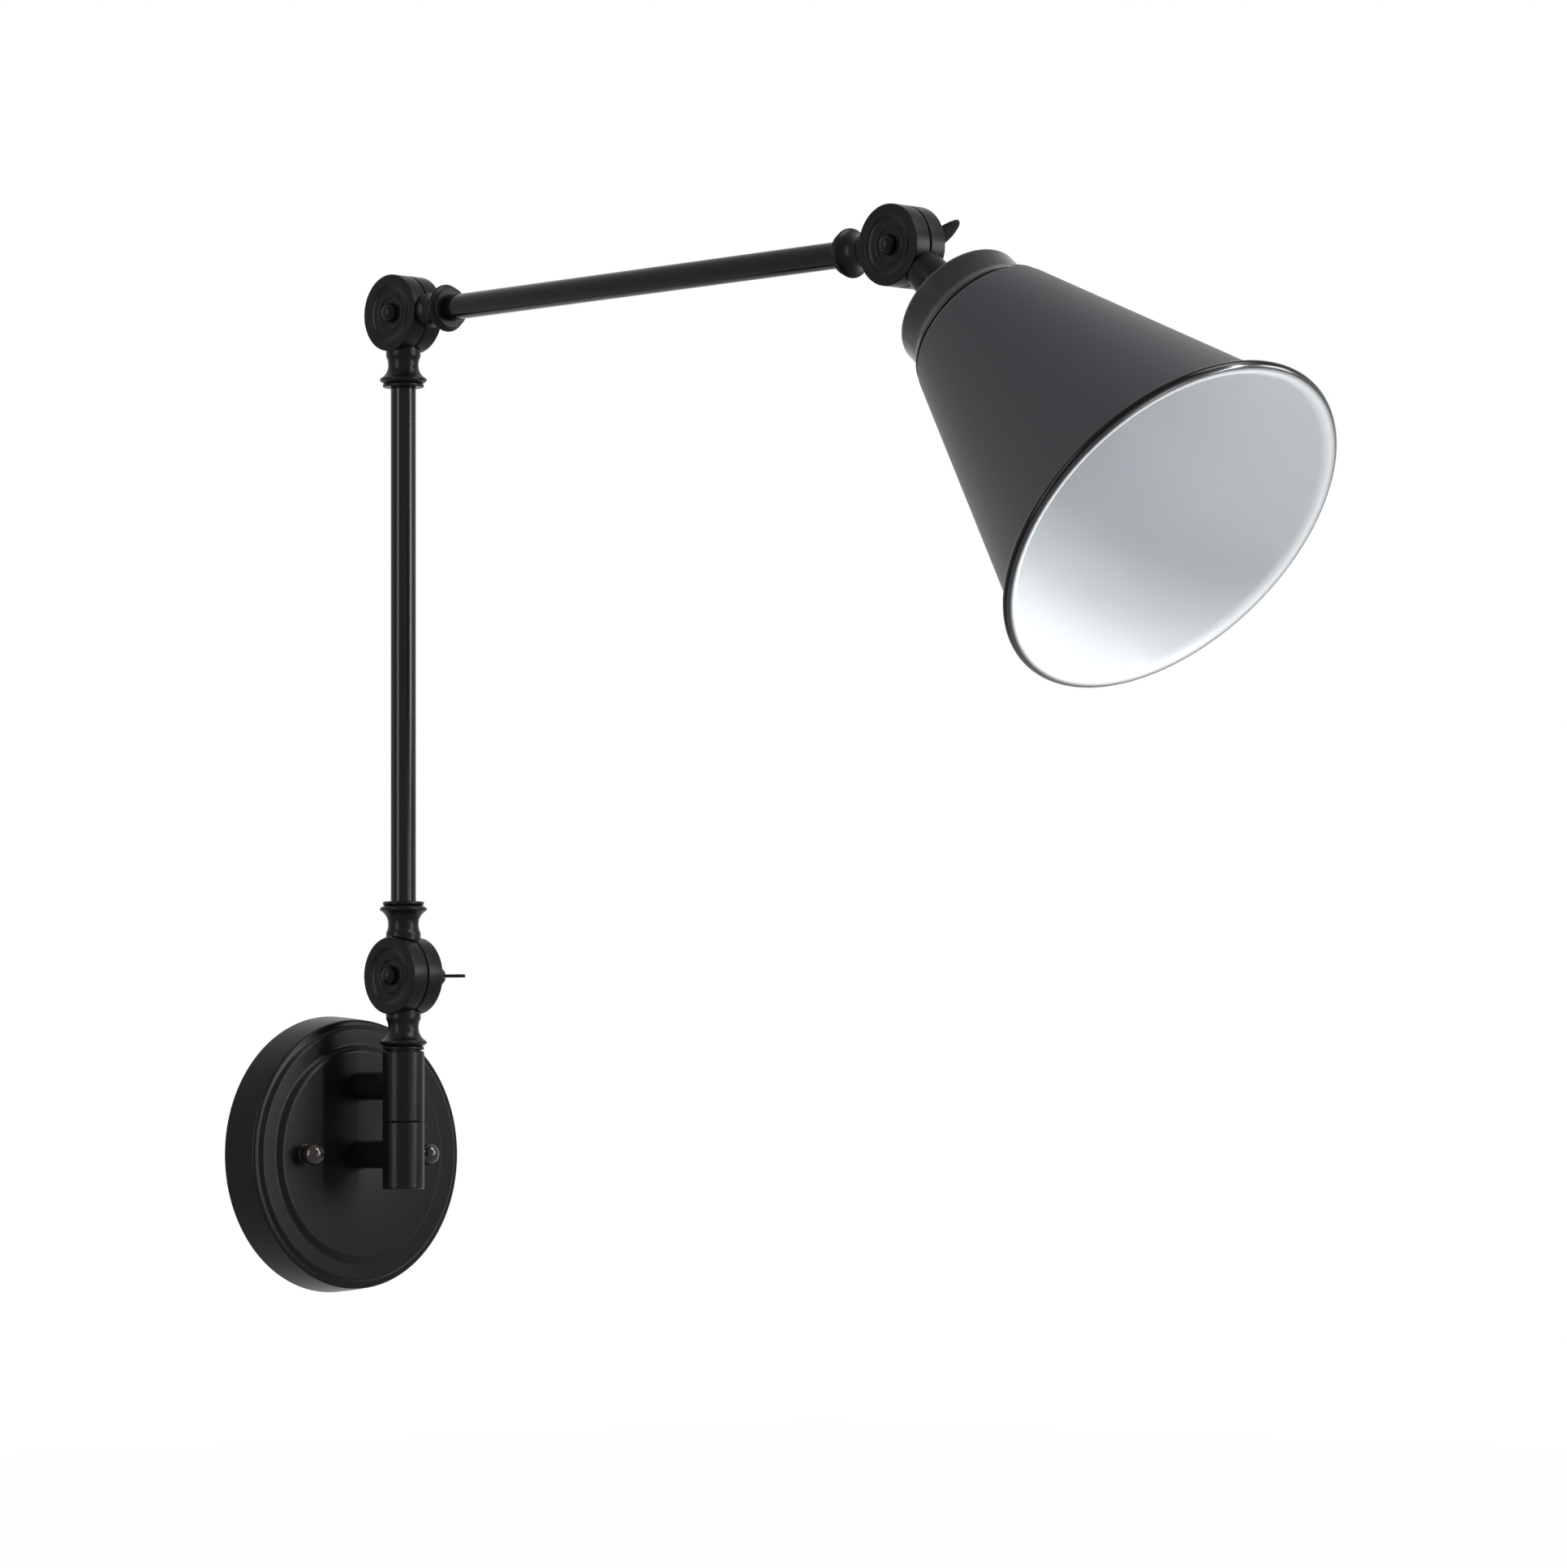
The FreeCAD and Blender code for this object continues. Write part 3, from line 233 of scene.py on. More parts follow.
# %% Join and cut solids
def combine(piece, tool, operation):
    """piece with tool joined on ("UNION") or cut away ("DIFFERENCE"). The tool is used up."""
    modifier = piece.modifiers.new("combine", "BOOLEAN")
    modifier.operation, modifier.object, modifier.solver = operation, tool, "EXACT"
    view = bpy.context.evaluated_depsgraph_get()
    mesh = bpy.data.meshes.new_from_object(piece.evaluated_get(view))
    mesh.shade_smooth()
    mesh.set_sharp_from_angle(angle=math.radians(32))
    piece.modifiers.clear()
    old = piece.data
    piece.data = mesh
    bpy.data.meshes.remove(old)
    bpy.data.objects.remove(tool)
    return piece


# %% [markdown]
# ## Finishes
#
# Colours are written as they are on a screen, in sRGB, and a shader wants them linear. One function
# turns them, and one adds a node with its settings and links.

# %% Colour and node helpers
def linear(hex_colour):
    """sRGB to linear: c / 12.92 below 0.04045, else ((c + 0.055) / 1.055) ^ 2.4."""
    values = np.array([int(hex_colour[i:i + 2], 16) for i in (1, 3, 5)]) / 255
    low, high = values / 12.92, ((values + 0.055) / 1.055) ** 2.4
    return (*np.where(values <= 0.04045, low, high), 1.0)


def add(material, kind, links=None, values=None, **settings):
    """A node of that kind. Settings name its properties or inputs, values give inputs by number, and
    links say what feeds an input."""
    node = material.node_tree.nodes.new(kind)
    for name, value in settings.items():
        if hasattr(node, name):
            setattr(node, name, value)
        else:
            node.inputs[name.replace("_", " ")].default_value = value
    for number, value in (values or {}).items():
        node.inputs[number].default_value = value
    for name, source in (links or {}).items():
        material.node_tree.links.new(source, node.inputs[name])
    return node


FACTOR, FIRST, SECOND, BLEND = 0, 6, 7, 2      # a Mix node's sockets for two colours, and its output


def per_mm(size):
    """Scale of a pattern, per metre, whose features are that many millimetres apart."""
    return 1 / (size * MM)


# %% [markdown]
# Powder coat is sprayed on dry and baked. It flows out smooth but never flat: up close it has a fine
# orange peel, and its gloss wanders a little. Both are patterns of real size. The peel, about 0.7 mm
# from hill to hill, is drawn at 1.1 mm so that it still shows from a step away.

# %% Painted finishes
CLOUD = 38          # millimetres between two patches of tone and gloss


def painted(name, dark, light, roughness, wander, peel_mm, peel_height, specular=0.5):
    """A baked paint: two near tones in soft clouds, wandering gloss and an orange peel bump."""
    material = bpy.data.materials.new(name)
    material.use_nodes = True
    shader = material.node_tree.nodes["Principled BSDF"]
    where = add(material, "ShaderNodeTexCoord").outputs["Object"]
    clouds = add(material, "ShaderNodeTexNoise", {"Vector": where}, Scale=per_mm(CLOUD), Detail=3.0)
    peel = add(material, "ShaderNodeTexNoise", {"Vector": where}, Scale=per_mm(peel_mm), Detail=1.5)
    tone = add(material, "ShaderNodeMix", {FACTOR: clouds.outputs["Fac"]},
               {FIRST: linear(dark), SECOND: linear(light)}, data_type="RGBA").outputs[BLEND]
    gloss = add(material, "ShaderNodeMapRange", {"Value": clouds.outputs["Fac"]},
                To_Min=roughness - wander, To_Max=roughness + wander)
    bump = add(material, "ShaderNodeBump", {"Height": peel.outputs["Fac"]},
               Distance=peel_height * MM, Strength=1.0)
    links = material.node_tree.links
    links.new(tone, shader.inputs["Base Color"])
    links.new(gloss.outputs["Result"], shader.inputs["Roughness"])
    links.new(bump.outputs["Normal"], shader.inputs["Normal"])
    shader.inputs["Specular IOR Level"].default_value = specular
    return material


FINISH = {
    # satin black powder coat on cast and drawn metal
    "black_paint": painted("powder_coat_satin_black", "#0b0a0a", "#0f0e0e", 0.3, 0.03, 1.1, 0.0012,
                           specular=0.085),
    # the same coat over smooth drawn tube, where it lies flatter and shines more
    "tube_paint": painted("powder_coat_black_on_tube", "#090808", "#0d0c0c", 0.17, 0.02, 1.1, 0.0005,
                          specular=0.14),
    # the charcoal coat of the cap, which is darker and closer to satin than the shade's
    "cap_paint": painted("powder_coat_satin_charcoal", "#100f11", "#141316", 0.2, 0.03, 1.1, 0.001,
                         specular=0.24),
    # matt charcoal powder coat on the spun shade
    "shade_paint": painted("powder_coat_matt_charcoal", "#19171d", "#1e1b22", 0.42, 0.03, 1.1, 0.002,
                           specular=0.24),
    # brown-black lacquer on the ball nuts, glossier than the paint round them
    "cap_nut_lacquer": painted("lacquer_brown_black", "#130d0b", "#1d1512", 0.14, 0.03, 1.6, 0.004,
                               specular=0.3),
    # glossy white vitreous enamel inside the shade
    "white_enamel": painted("vitreous_enamel_white", "#cdd1d4", "#d3d7da", 0.15, 0.03, 6.0, 0.012),
    # black edge enamel brushed round the shade's bead
    "rim_black": painted("vitreous_enamel_black_edge", "#050506", "#08080a", 0.16, 0.02, 6.0, 0.003,
                         specular=0.1),
    # green dyed earth screw
    "earth_green": painted("zinc_dyed_green", "#1f5a2c", "#2b6f38", 0.35, 0.05, 1.5, 0.01),
    # pressed red-brown fibre board
    "fibre": painted("fibre_board_brown", "#3c1f17", "#55301f", 0.75, 0.05, 0.9, 0.03),
    # white moulded thermoset of the shade ring
    "white_ring": painted("thermoset_white", "#d9dadc", "#e2e3e5", 0.3, 0.04, 3.0, 0.01),
    # glazed porcelain
    "porcelain": painted("porcelain_glazed", "#ddd9cf", "#ebe7de", 0.12, 0.03, 9.0, 0.03),
}

# %% [markdown]
# Bare metal shows where nobody looks: the bracket and nuts behind the canopy, and the brass shell of
# the lamp holder. Plated steel has fine rolling marks in one direction, so its noise is squeezed along
# one axis, and it is shiny in the valleys and duller on the marks.

# %% Bare metals
def bare_metal(name, dark, light, roughness, grain_mm, stretch):
    """A metal with stretched rolling or turning marks that change its gloss."""
    material = bpy.data.materials.new(name)
    material.use_nodes = True
    shader = material.node_tree.nodes["Principled BSDF"]
    where = add(material, "ShaderNodeTexCoord").outputs["Object"]
    squeezed = add(material, "ShaderNodeMapping", {"Vector": where}, Scale=stretch)
    marks = add(material, "ShaderNodeTexNoise", {"Vector": squeezed.outputs["Vector"]},
                Scale=per_mm(grain_mm), Detail=4.0)
    tone = add(material, "ShaderNodeMix", {FACTOR: marks.outputs["Fac"]},
               {FIRST: linear(dark), SECOND: linear(light)}, data_type="RGBA").outputs[BLEND]
    gloss = add(material, "ShaderNodeMapRange", {"Value": marks.outputs["Fac"]},
                To_Min=roughness - 0.08, To_Max=roughness + 0.1)
    bump = add(material, "ShaderNodeBump", {"Height": marks.outputs["Fac"]},
               Distance=0.006 * MM, Strength=0.6)
    links = material.node_tree.links
    links.new(tone, shader.inputs["Base Color"])
    links.new(gloss.outputs["Result"], shader.inputs["Roughness"])
    links.new(bump.outputs["Normal"], shader.inputs["Normal"])
    shader.inputs["Metallic"].default_value = 1.0
    return material


FINISH["zinc_steel"] = bare_metal("steel_zinc_plated", "#a9abad", "#c9cbce", 0.3, 1.2, (0.15, 1, 1))
FINISH["brass"] = bare_metal("brass_drawn", "#b08a45", "#cfae68", 0.22, 0.9, (1, 1, 0.2))
print("finishes:", ", ".join(sorted(FINISH)))


# %% [markdown]
# Every new piece stands for a node of the frame: the node is hidden, and the piece rides on the same
# body and takes the same finish.

# %% Put a piece in place of a node
def stand_in(piece, node):
    """piece replaces node, rides on its body and takes its finish."""
    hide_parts(node)
    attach(piece, BODY_OF[node])
    return dress(piece, SLOT_OF[node])


def dress(piece, slot, finish=None):
    """Give a piece the finish of a slot of the record, or a variety of that finish."""
    piece.data.materials.clear()
    piece.data.materials.append(FINISH[finish or slot])
    return piece


# %% [markdown]
# ## On the wall
#
# The canopy is spun from sheet: a leaning side, then a step to a flat ring and a rounded one to a flat
# disc. Seen from the left the two steps show as fine lines, and on the right they hide.

# %% Canopy
WALL = np.zeros(3)
CANOPY_R = extent("canopy", ACROSS)[1]
FACE = -extent("canopy", -OUT)[0]
SHEET = 1.2
EDGE, RING = 17.6, 19.2             # depths of the side's edge and of the flat ring
STEP_FOOT, STEP_TOP = 56.6, 55.2    # radii of the first step
RISE_FOOT, RISE_TOP = 48.8, 44.8    # radii of the second one, which is made of two arcs
BEND = 2 * math.degrees(math.atan((FACE - RING) / (RISE_FOOT - RISE_TOP)))
stand_in(turned("canopy_spun", [
    (CANOPY_R, 0), (CANOPY_R - 1.7, EDGE - 1, 3), (CANOPY_R - 2.8, EDGE, 60),
    (STEP_FOOT, EDGE + 0.2), (STEP_TOP, RING), (RISE_FOOT, RING),
    ((RISE_FOOT + RISE_TOP) / 2, (RING + FACE) / 2, -BEND), (RISE_TOP, FACE, BEND),
    (0, FACE), (0, FACE - SHEET), (RISE_TOP - 0.4, FACE - SHEET), (RISE_FOOT - 0.4, RING - SHEET),
    (STEP_TOP - 0.6, RING - SHEET), (STEP_FOOT - 0.6, EDGE - SHEET), (CANOPY_R - 3.3, EDGE - SHEET),
    (CANOPY_R - SHEET, 0), (CANOPY_R, 0),
], WALL, OUT, around=256, edge=0.5), "canopy")
print(f"canopy {2 * CANOPY_R:.0f} mm across, {FACE:.1f} mm deep")

# %% [markdown]
# Two ball nuts close the canopy on its studs. A ball this size is turned from bar: a short foot, then
# nearly the whole ball. Two balls on one node are one mesh.

# %% Ball nuts
STUD = 66.7 / 2
BALL, FOOT, FOOT_HEIGHT = 4.9, 4.5, 2.0
FOOT_ANGLE = math.radians(50)


def merge(name, pieces):
    """Several closed meshes as one piece."""
    points, faces, start = [], [], 0
    for piece in pieces:
        mesh = piece.data
        co = np.empty(len(mesh.vertices) * 3)
        mesh.vertices.foreach_get("co", co)
        points.append(co.reshape(-1, 3) / MM)
        faces.extend([[v + start for v in polygon.vertices] for polygon in mesh.polygons])
        start += len(mesh.vertices)
        bpy.data.objects.remove(piece)
    return build(name, np.concatenate(points), faces)


def ball_nut(side):
    """A foot, then a ball whose foot circle lies 50 degrees under its equator."""
    middle = FOOT_HEIGHT + BALL * math.sin(FOOT_ANGLE)
    return turned("ball_nut", [
        (0, 0), (FOOT, 0), (FOOT, FOOT_HEIGHT), (BALL * math.cos(FOOT_ANGLE), FOOT_HEIGHT),
        (BALL, middle, 50), (0, middle + BALL, 90),
    ], WALL + OUT * FACE + ACROSS * STUD * side, OUT, around=64, edge=0.2)


stand_in(merge("ball_nuts", [ball_nut(-1), ball_nut(1)]), "canopy_cap_nuts")

# %% [markdown]
# Two posts carry the swivel. Their front ends are coped, which means cut to a hollow that fits the
# round sleeve: every point of the end lies on the sleeve's own cylinder.

# %% Posts and their grub screws
REACH = SWIVEL @ OUT
SLEEVE_R = extent("upper_sleeve", ACROSS)[1]
POST_R = extent("upper_post", ACROSS)[1]
POST_UP = (extent("lower_post", UP)[1] - POST_R, extent("upper_post", UP)[1] - POST_R)
TAIL_R, TAIL_BACK = 4.9, FACE - 8
GRUB_R, GRUB_OUT = 1.5, REACH - SLEEVE_R - 1.6
GRUB_LENGTH, SOCKET_R, SOCKET_FLOOR = 2.9, 0.8, 1.6


def post(name, up):
    """A tail, a body, and a coped end: height there is reach - sqrt(sleeve^2 - x^2)."""
    end = [(POST_R * share, REACH) for share in np.linspace(1, 0, 7)]
    return turned(name, [(0, TAIL_BACK), (TAIL_R, TAIL_BACK), (TAIL_R, FACE), (POST_R, FACE)] + end,
                  UP * up, OUT, reshape=lambda x, y, z: (
                      x, y, np.where(z > REACH - 0.01, REACH - np.sqrt(SLEEVE_R ** 2 - x ** 2), z)))


for node, up in zip(("lower_post", "upper_post"), POST_UP):
    stand_in(post(f"{node}_turned", up), node)


def hex_recess(x, y, z):
    """Points inside the socket's rim are moved out to a hexagon round it."""
    radius, angle = np.hypot(x, y), np.arctan2(y, x)
    hexagon = np.cos(np.pi / 6) / np.cos((angle + np.pi / 6) % (np.pi / 3) - np.pi / 6)
    share = np.where((radius > 0.05) & (radius < 1.0), hexagon, 1.0)
    return x * share, y * share, z


def grub_screw(up):
    """A set screw with a hexagon socket, pressed into the side of a post."""
    return turned("grub_screw", [
        (0, 0), (GRUB_R, 0), (GRUB_R, GRUB_LENGTH), (SOCKET_R + 0.05, GRUB_LENGTH),
        (SOCKET_R, GRUB_LENGTH - 0.05), (SOCKET_R, SOCKET_FLOOR), (0, SOCKET_FLOOR),
    ], UP * up + OUT * GRUB_OUT - ACROSS * (POST_R - 2.4), -ACROSS, around=36, edge=0.12,
        reshape=hex_recess)


stand_in(merge("grub_screws", [grub_screw(up) for up in POST_UP]), "post_grub_screws")

# %% [markdown]
# The swivel's two sleeves meet at a fine seam. Each end has a small chamfer, and the two chamfers
# together make the dark line with a bright one under it.

# %% Sleeves and washer
SPINDLE_R, RECESS_R, RECESS = 4.08, 6.9, 8.0
CHAMFER = 0.5
bottom, seam = extent("lower_sleeve", UP)
top = extent("upper_sleeve", UP)[1]
AXIS = SWIVEL * np.array([1, 1, 0])
stand_in(turned("lower_sleeve_turned", [
    (RECESS_R, bottom), (SLEEVE_R - CHAMFER, bottom), (SLEEVE_R, bottom + CHAMFER),
    (SLEEVE_R, seam - CHAMFER), (SLEEVE_R - CHAMFER, seam), (SPINDLE_R, seam),
    (SPINDLE_R, bottom + RECESS), (RECESS_R, bottom + RECESS),
], AXIS, UP, around=128, edge=0.15, closed=True), "lower_sleeve")
stand_in(turned("upper_sleeve_turned", [
    (SPINDLE_R, seam), (SLEEVE_R - CHAMFER, seam), (SLEEVE_R, seam + CHAMFER),
    (SLEEVE_R, top - CHAMFER), (SLEEVE_R - CHAMFER, top), (SPINDLE_R, top),
], AXIS, UP, around=128, edge=0.15, closed=True), "upper_sleeve")
print(f"sleeves from {bottom:.1f} to {top:.1f}, seam at {seam:.1f}")

# %% [markdown]
# ## Knuckles
#
# A knuckle is two half drums face to face. Each half is one casting: the drum with a bead and a raised
# ring on its face, and a turned neck that reaches over the other half and is scooped out to clear it.
# Here the neck is turned, the other drum's room is cut from it, and the drum is joined on.

# %% A knuckle half
DRUM_R, DRUM_FACE, SEAM_HALF = 16.9, 8.5, 0.25
INNER_FACE = SEAM_HALF + 0.02        # the fibre washer between two halves lies this side of it
DISH, SEAT_FACE, SEAT_R = DRUM_FACE - 1.1, DRUM_FACE - 1.2, 4.9
RIM_R, DISH_R, RAISED = 12.9, 10.4, (8.2, 6.5)       # radii of the rim, the dish and the raised ring
BOLT_R, CLEARANCE = 2.5, 0.08
NECK_START, NECK = 12, 32.5
ROUND = math.tan(math.radians(30)) / 2     # how far a 120 degree bead stands out, per width


def drum_outline(hole):
    """Radius and depth of a drum's section, from its inner face round to its seat."""
    return [
        (hole, INNER_FACE), (DRUM_R - 0.35, INNER_FACE), (DRUM_R, INNER_FACE + 0.35),
        (DRUM_R, DRUM_FACE - 0.4), (DRUM_R - 0.4, DRUM_FACE),
        (RIM_R, DRUM_FACE), (RIM_R - 0.6, DRUM_FACE - 0.2, 40), (DISH_R, DISH, -30),
        (RAISED[0], DISH), (RAISED[1], DISH, 130), (SEAT_R, DISH), (SEAT_R, SEAT_FACE), (hole, SEAT_FACE),
    ]


SHOULDER_WIDE, SHOULDER_END = 7.6, 18.9
WAIST_R, WAIST_AT = 6.7, 22.4
BEAD_WIDTH = 1.5
FLANGE_R, FLANGE_AT, GROOVE_R, END_R = 10.35, 28.45, 8.3, 9.1


def neck_outline(bore, grip):
    """Radius and distance of a neck: shoulder, waist, flange bead, groove and end ring."""
    flange, ring = FLANGE_R - BEAD_WIDTH * ROUND, END_R - BEAD_WIDTH * ROUND
    return [
        (0, NECK_START), (SHOULDER_WIDE, NECK_START), (SHOULDER_WIDE, SHOULDER_END),
        (WAIST_R, WAIST_AT, -30), (flange, FLANGE_AT, -62), (flange, FLANGE_AT + BEAD_WIDTH, 120),
        (GROOVE_R, NECK - BEAD_WIDTH), (ring, NECK - BEAD_WIDTH), (ring, NECK, 120),
        (bore, NECK), (bore, NECK - grip), (0, NECK - grip),
    ]


BARREL_START_R, BARREL_R, BARREL_AT, BARREL_END_R = 7.9, 8.7, 24, 8.3


def barrel_outline(bore, grip):
    """Radius and distance of the head's neck: a plain barrel that ends in the cap."""
    return [
        (0, NECK_START), (BARREL_START_R, NECK_START), (BARREL_R, BARREL_AT, 6), (BARREL_END_R, NECK, 6),
        (bore, NECK), (bore, NECK - grip), (0, NECK - grip),
    ]


def knuckle_half(node, centre, side, neck_along, bore, grip, hole, neck_form=neck_outline):
    """side is +1 or -1 for the half's place along X, and neck_along is where its neck points."""
    neck = turned(f"{node}_cast", neck_form(bore, grip), centre, neck_along, around=112, edge=0.2)
    room = turned("room", [(0, -SEAM_HALF), (DRUM_R + 0.5, -SEAM_HALF), (DRUM_R + 0.5, 20), (0, 20)],
                  centre, -side * ACROSS, around=128, edge=0)
    drum = turned("drum", drum_outline(hole), centre, side * ACROSS, around=160, edge=0.15, closed=True)
    combine(neck, room, "DIFFERENCE")
    return stand_in(combine(neck, drum, "UNION"), node)


# %% [markdown]
# The six halves differ only in where they stand, which way they point and what their neck holds. The
# front halves, on the -X side, hold the bolt's square neck; the back halves turn on its shank.

# %% Six halves
TUBE_R = extent("lower_arm_tube", ACROSS)[1]
TUBE_GRIP, SPINDLE_GRIP, NIPPLE_R, NIPPLE_GRIP = 12.0, 10.0, 4.95, 10.0
knuckle_half("lower_knuckle_front", LOWER_KNUCKLE, -1, -UP, 4.0, SPINDLE_GRIP, BOLT_R)
knuckle_half("lower_knuckle_back", LOWER_KNUCKLE, 1, UP, TUBE_R, TUBE_GRIP, BOLT_R + CLEARANCE)
knuckle_half("elbow_front", ELBOW, -1, -UP, TUBE_R, TUBE_GRIP, BOLT_R)
knuckle_half("elbow_back", ELBOW, 1, OUT, TUBE_R, TUBE_GRIP, BOLT_R + CLEARANCE)
knuckle_half("head_knuckle_front", HEAD, -1, -OUT, TUBE_R, TUBE_GRIP, BOLT_R)
knuckle_half("head_knuckle_back", HEAD, 1, SHADE_AXIS, NIPPLE_R, NIPPLE_GRIP, BOLT_R + CLEARANCE,
             neck_form=barrel_outline)

# %% [markdown]
# Each knuckle is clamped by a bolt with a domed head, a washer and a wing nut. A wing nut's ear is a
# plate whose two edges curve apart and close in a round tip, so it is worked out as a rounded section
# carried from the hub to the tip.

# %% Bolts, washers and wing nuts
WASHER_BASE, HUB_BASE = SEAT_FACE, SEAT_FACE + 1.4
HUB_R, HUB_TOP_R, HUB_HEIGHT = 5.3, 3.6, 13.0
BOLT_END = HUB_BASE + HUB_HEIGHT + 0.8
HEAD_R, HEAD_SKIRT, HEAD_TURN = 4.2, 1.0, 75
EAR_THICK, EAR_TIP = 1.5, 0.8              # thickness, and the share of the length where the tip begins
EAR_ENDS = np.array([16.6, 11.7]), np.array([16.2, 13.9])      # where the outer and inner edges end
WASHER_R = 4.6


def clamp_bolt(node, centre):
    """Shank from the far end to the head, which is a skirt and a dome."""
    rise = HEAD_SKIRT + HEAD_R * math.tan(math.radians(HEAD_TURN / 2))
    return stand_in(turned(f"{node}_forged", [
        (0, -BOLT_END), (BOLT_R, -BOLT_END), (BOLT_R, SEAT_FACE), (HEAD_R, SEAT_FACE),
        (HEAD_R, SEAT_FACE + HEAD_SKIRT), (0, SEAT_FACE + rise, HEAD_TURN),
    ], centre, -ACROSS, around=64, edge=0.3), node)


def clamp_washer(node, centre):
    """A flat washer between the drum's seat and the wing nut."""
    hole = BOLT_R + CLEARANCE
    return stand_in(turned(f"{node}_pressed", [
        (hole, WASHER_BASE), (WASHER_R, WASHER_BASE), (WASHER_R, HUB_BASE), (hole, HUB_BASE),
    ], centre, ACROSS, around=64, edge=0.2, closed=True), node)


def ear(centre, outwards):
    """An ear: with A(u) and B(u) its outer and inner edges, a point is the middle of A and B, plus
    w(u) cos(v) of half their gap, plus sin(v) of half the thickness, both with a squared-off round.
    w falls to zero at the tip as a quarter ellipse."""
    rows, columns = 48, 32
    u = 1 - np.linspace(1, 0, rows) ** 2
    outer = arc_at(np.array([HUB_R - 0.3, 0.8]), EAR_ENDS[0], 38, u)
    inner = arc_at(np.array([HUB_TOP_R - 0.2, HUB_HEIGHT - 0.6]), EAR_ENDS[1], -60, u)
    width = np.sqrt(np.clip(1 - (np.clip(u - EAR_TIP, 0, 1) / (1 - EAR_TIP)) ** 2, 0, 1))
    v = np.linspace(0, 2 * np.pi, columns, endpoint=False)
    flat, deep = (np.sign(f) * np.abs(f) ** 0.55 for f in (np.cos(v), np.sin(v)))
    middle, half = (outer + inner) / 2, (inner - outer) / 2 * width[:, None]
    plan = middle[:, None] + half[:, None] * flat[None, :, None]
    thick = EAR_THICK / 2 * deep[None, :] * np.minimum(1, width[:, None] * 1.6)
    side = np.cross(ACROSS, outwards)
    points = (centre + plan[..., :1] * outwards + (plan[..., 1:] + HUB_BASE) * ACROSS
              + thick[..., None] * side)
    faces = grid_faces(rows, columns, False, flip=True).tolist()
    faces += [list(range(columns)), list(range(rows * columns - 1, (rows - 1) * columns - 1, -1))]
    return build("ear", points.reshape(-1, 3), faces)


def wing_nut(node, centre, ears_along):
    """A tapered hub with an ear to each side."""
    hole = BOLT_R + CLEARANCE
    hub_top = HUB_BASE + HUB_HEIGHT
    hub = turned(f"{node}_cast", [
        (hole, HUB_BASE), (HUB_R, HUB_BASE), (HUB_TOP_R, hub_top), (hole, hub_top),
    ], centre, ACROSS, around=72, edge=0.4, closed=True)
    for outwards in (ears_along, -ears_along):
        combine(hub, ear(centre, outwards), "UNION")
    return stand_in(hub, node)


EAR_TILT = math.radians(45.0)
head_ears = OUT * math.cos(EAR_TILT) + UP * math.sin(EAR_TILT)
for stem, centre, ears_along in (("lower", LOWER_KNUCKLE, OUT), ("elbow", ELBOW, OUT),
                                 ("head", HEAD, head_ears)):
    clamp_bolt(f"{stem}_clamp_bolt", centre)
    clamp_washer(f"{stem}_clamp_washer", centre)
    wing_nut(f"{stem}_wing_nut", centre, ears_along)
print("three knuckles clamped")

# %% [markdown]
# ## Arms
#
# The arms are drawn tubes, let into the necks at both ends.

# %% Tubes
TUBE_WALL = 1.2


def tube(node, along):
    """A tube along an axis of the frame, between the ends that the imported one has."""
    start, end = extent(node, along)
    origin = ELBOW - along * (ELBOW @ along)
    drawn = stand_in(turned(f"{node}_drawn", [
        (TUBE_R - TUBE_WALL, start), (TUBE_R, start), (TUBE_R, end), (TUBE_R - TUBE_WALL, end),
    ], origin, along, around=96, edge=0.2, closed=True), node)
    return dress(drawn, SLOT_OF[node], "tube_paint")


tube("lower_arm_tube", UP)
tube("upper_arm_tube", OUT)

# %% [markdown]
# ## The head
#
# Behind the shade sits a shallow cup with a domed back, whose front edge flares into a thin lip. The
# shade itself is a spun cone: a rounded shoulder, a straight side, and a mouth that flares a little
# before its edge is rolled into a round bead. It is painted outside and enamelled inside, so the enamel
# is a thin coat of its own on the inner wall, and the bead's outer side is brushed with black enamel.

# %% The bead at the mouth
CAP_BACK, CAP_FRONT = NECK + 9.4, NECK + 29.9
MOUTH, MOUTH_R = CAP_FRONT + 133.6, 78.8
SHADE_SHEET, BEAD_R, COAT = 1.1, 2.2, 0.12
BEAD = np.array([MOUTH_R - BEAD_R, MOUTH - BEAD_R])
BEAD_BACK, BEAD_FRONT = -120, 120     # where the sheet meets the bead outside and inside, in degrees
ENAMEL_END, BAND_END = 35, 38         # where the white and the black enamel end


def on_bead(degrees, lift=0.0):
    """A point of the rolled bead: its middle plus its radius at so many degrees from straight outwards."""
    turn = math.radians(degrees)
    return BEAD + (BEAD_R + lift) * np.array([math.cos(turn), math.sin(turn)])


def bead_arc(start, stops, lift):
    """Corners on the bead from start through the stops, each with the turn that leads to it."""
    return [(*on_bead(stop, lift), stop - last) for last, stop in zip([start] + stops, stops)]


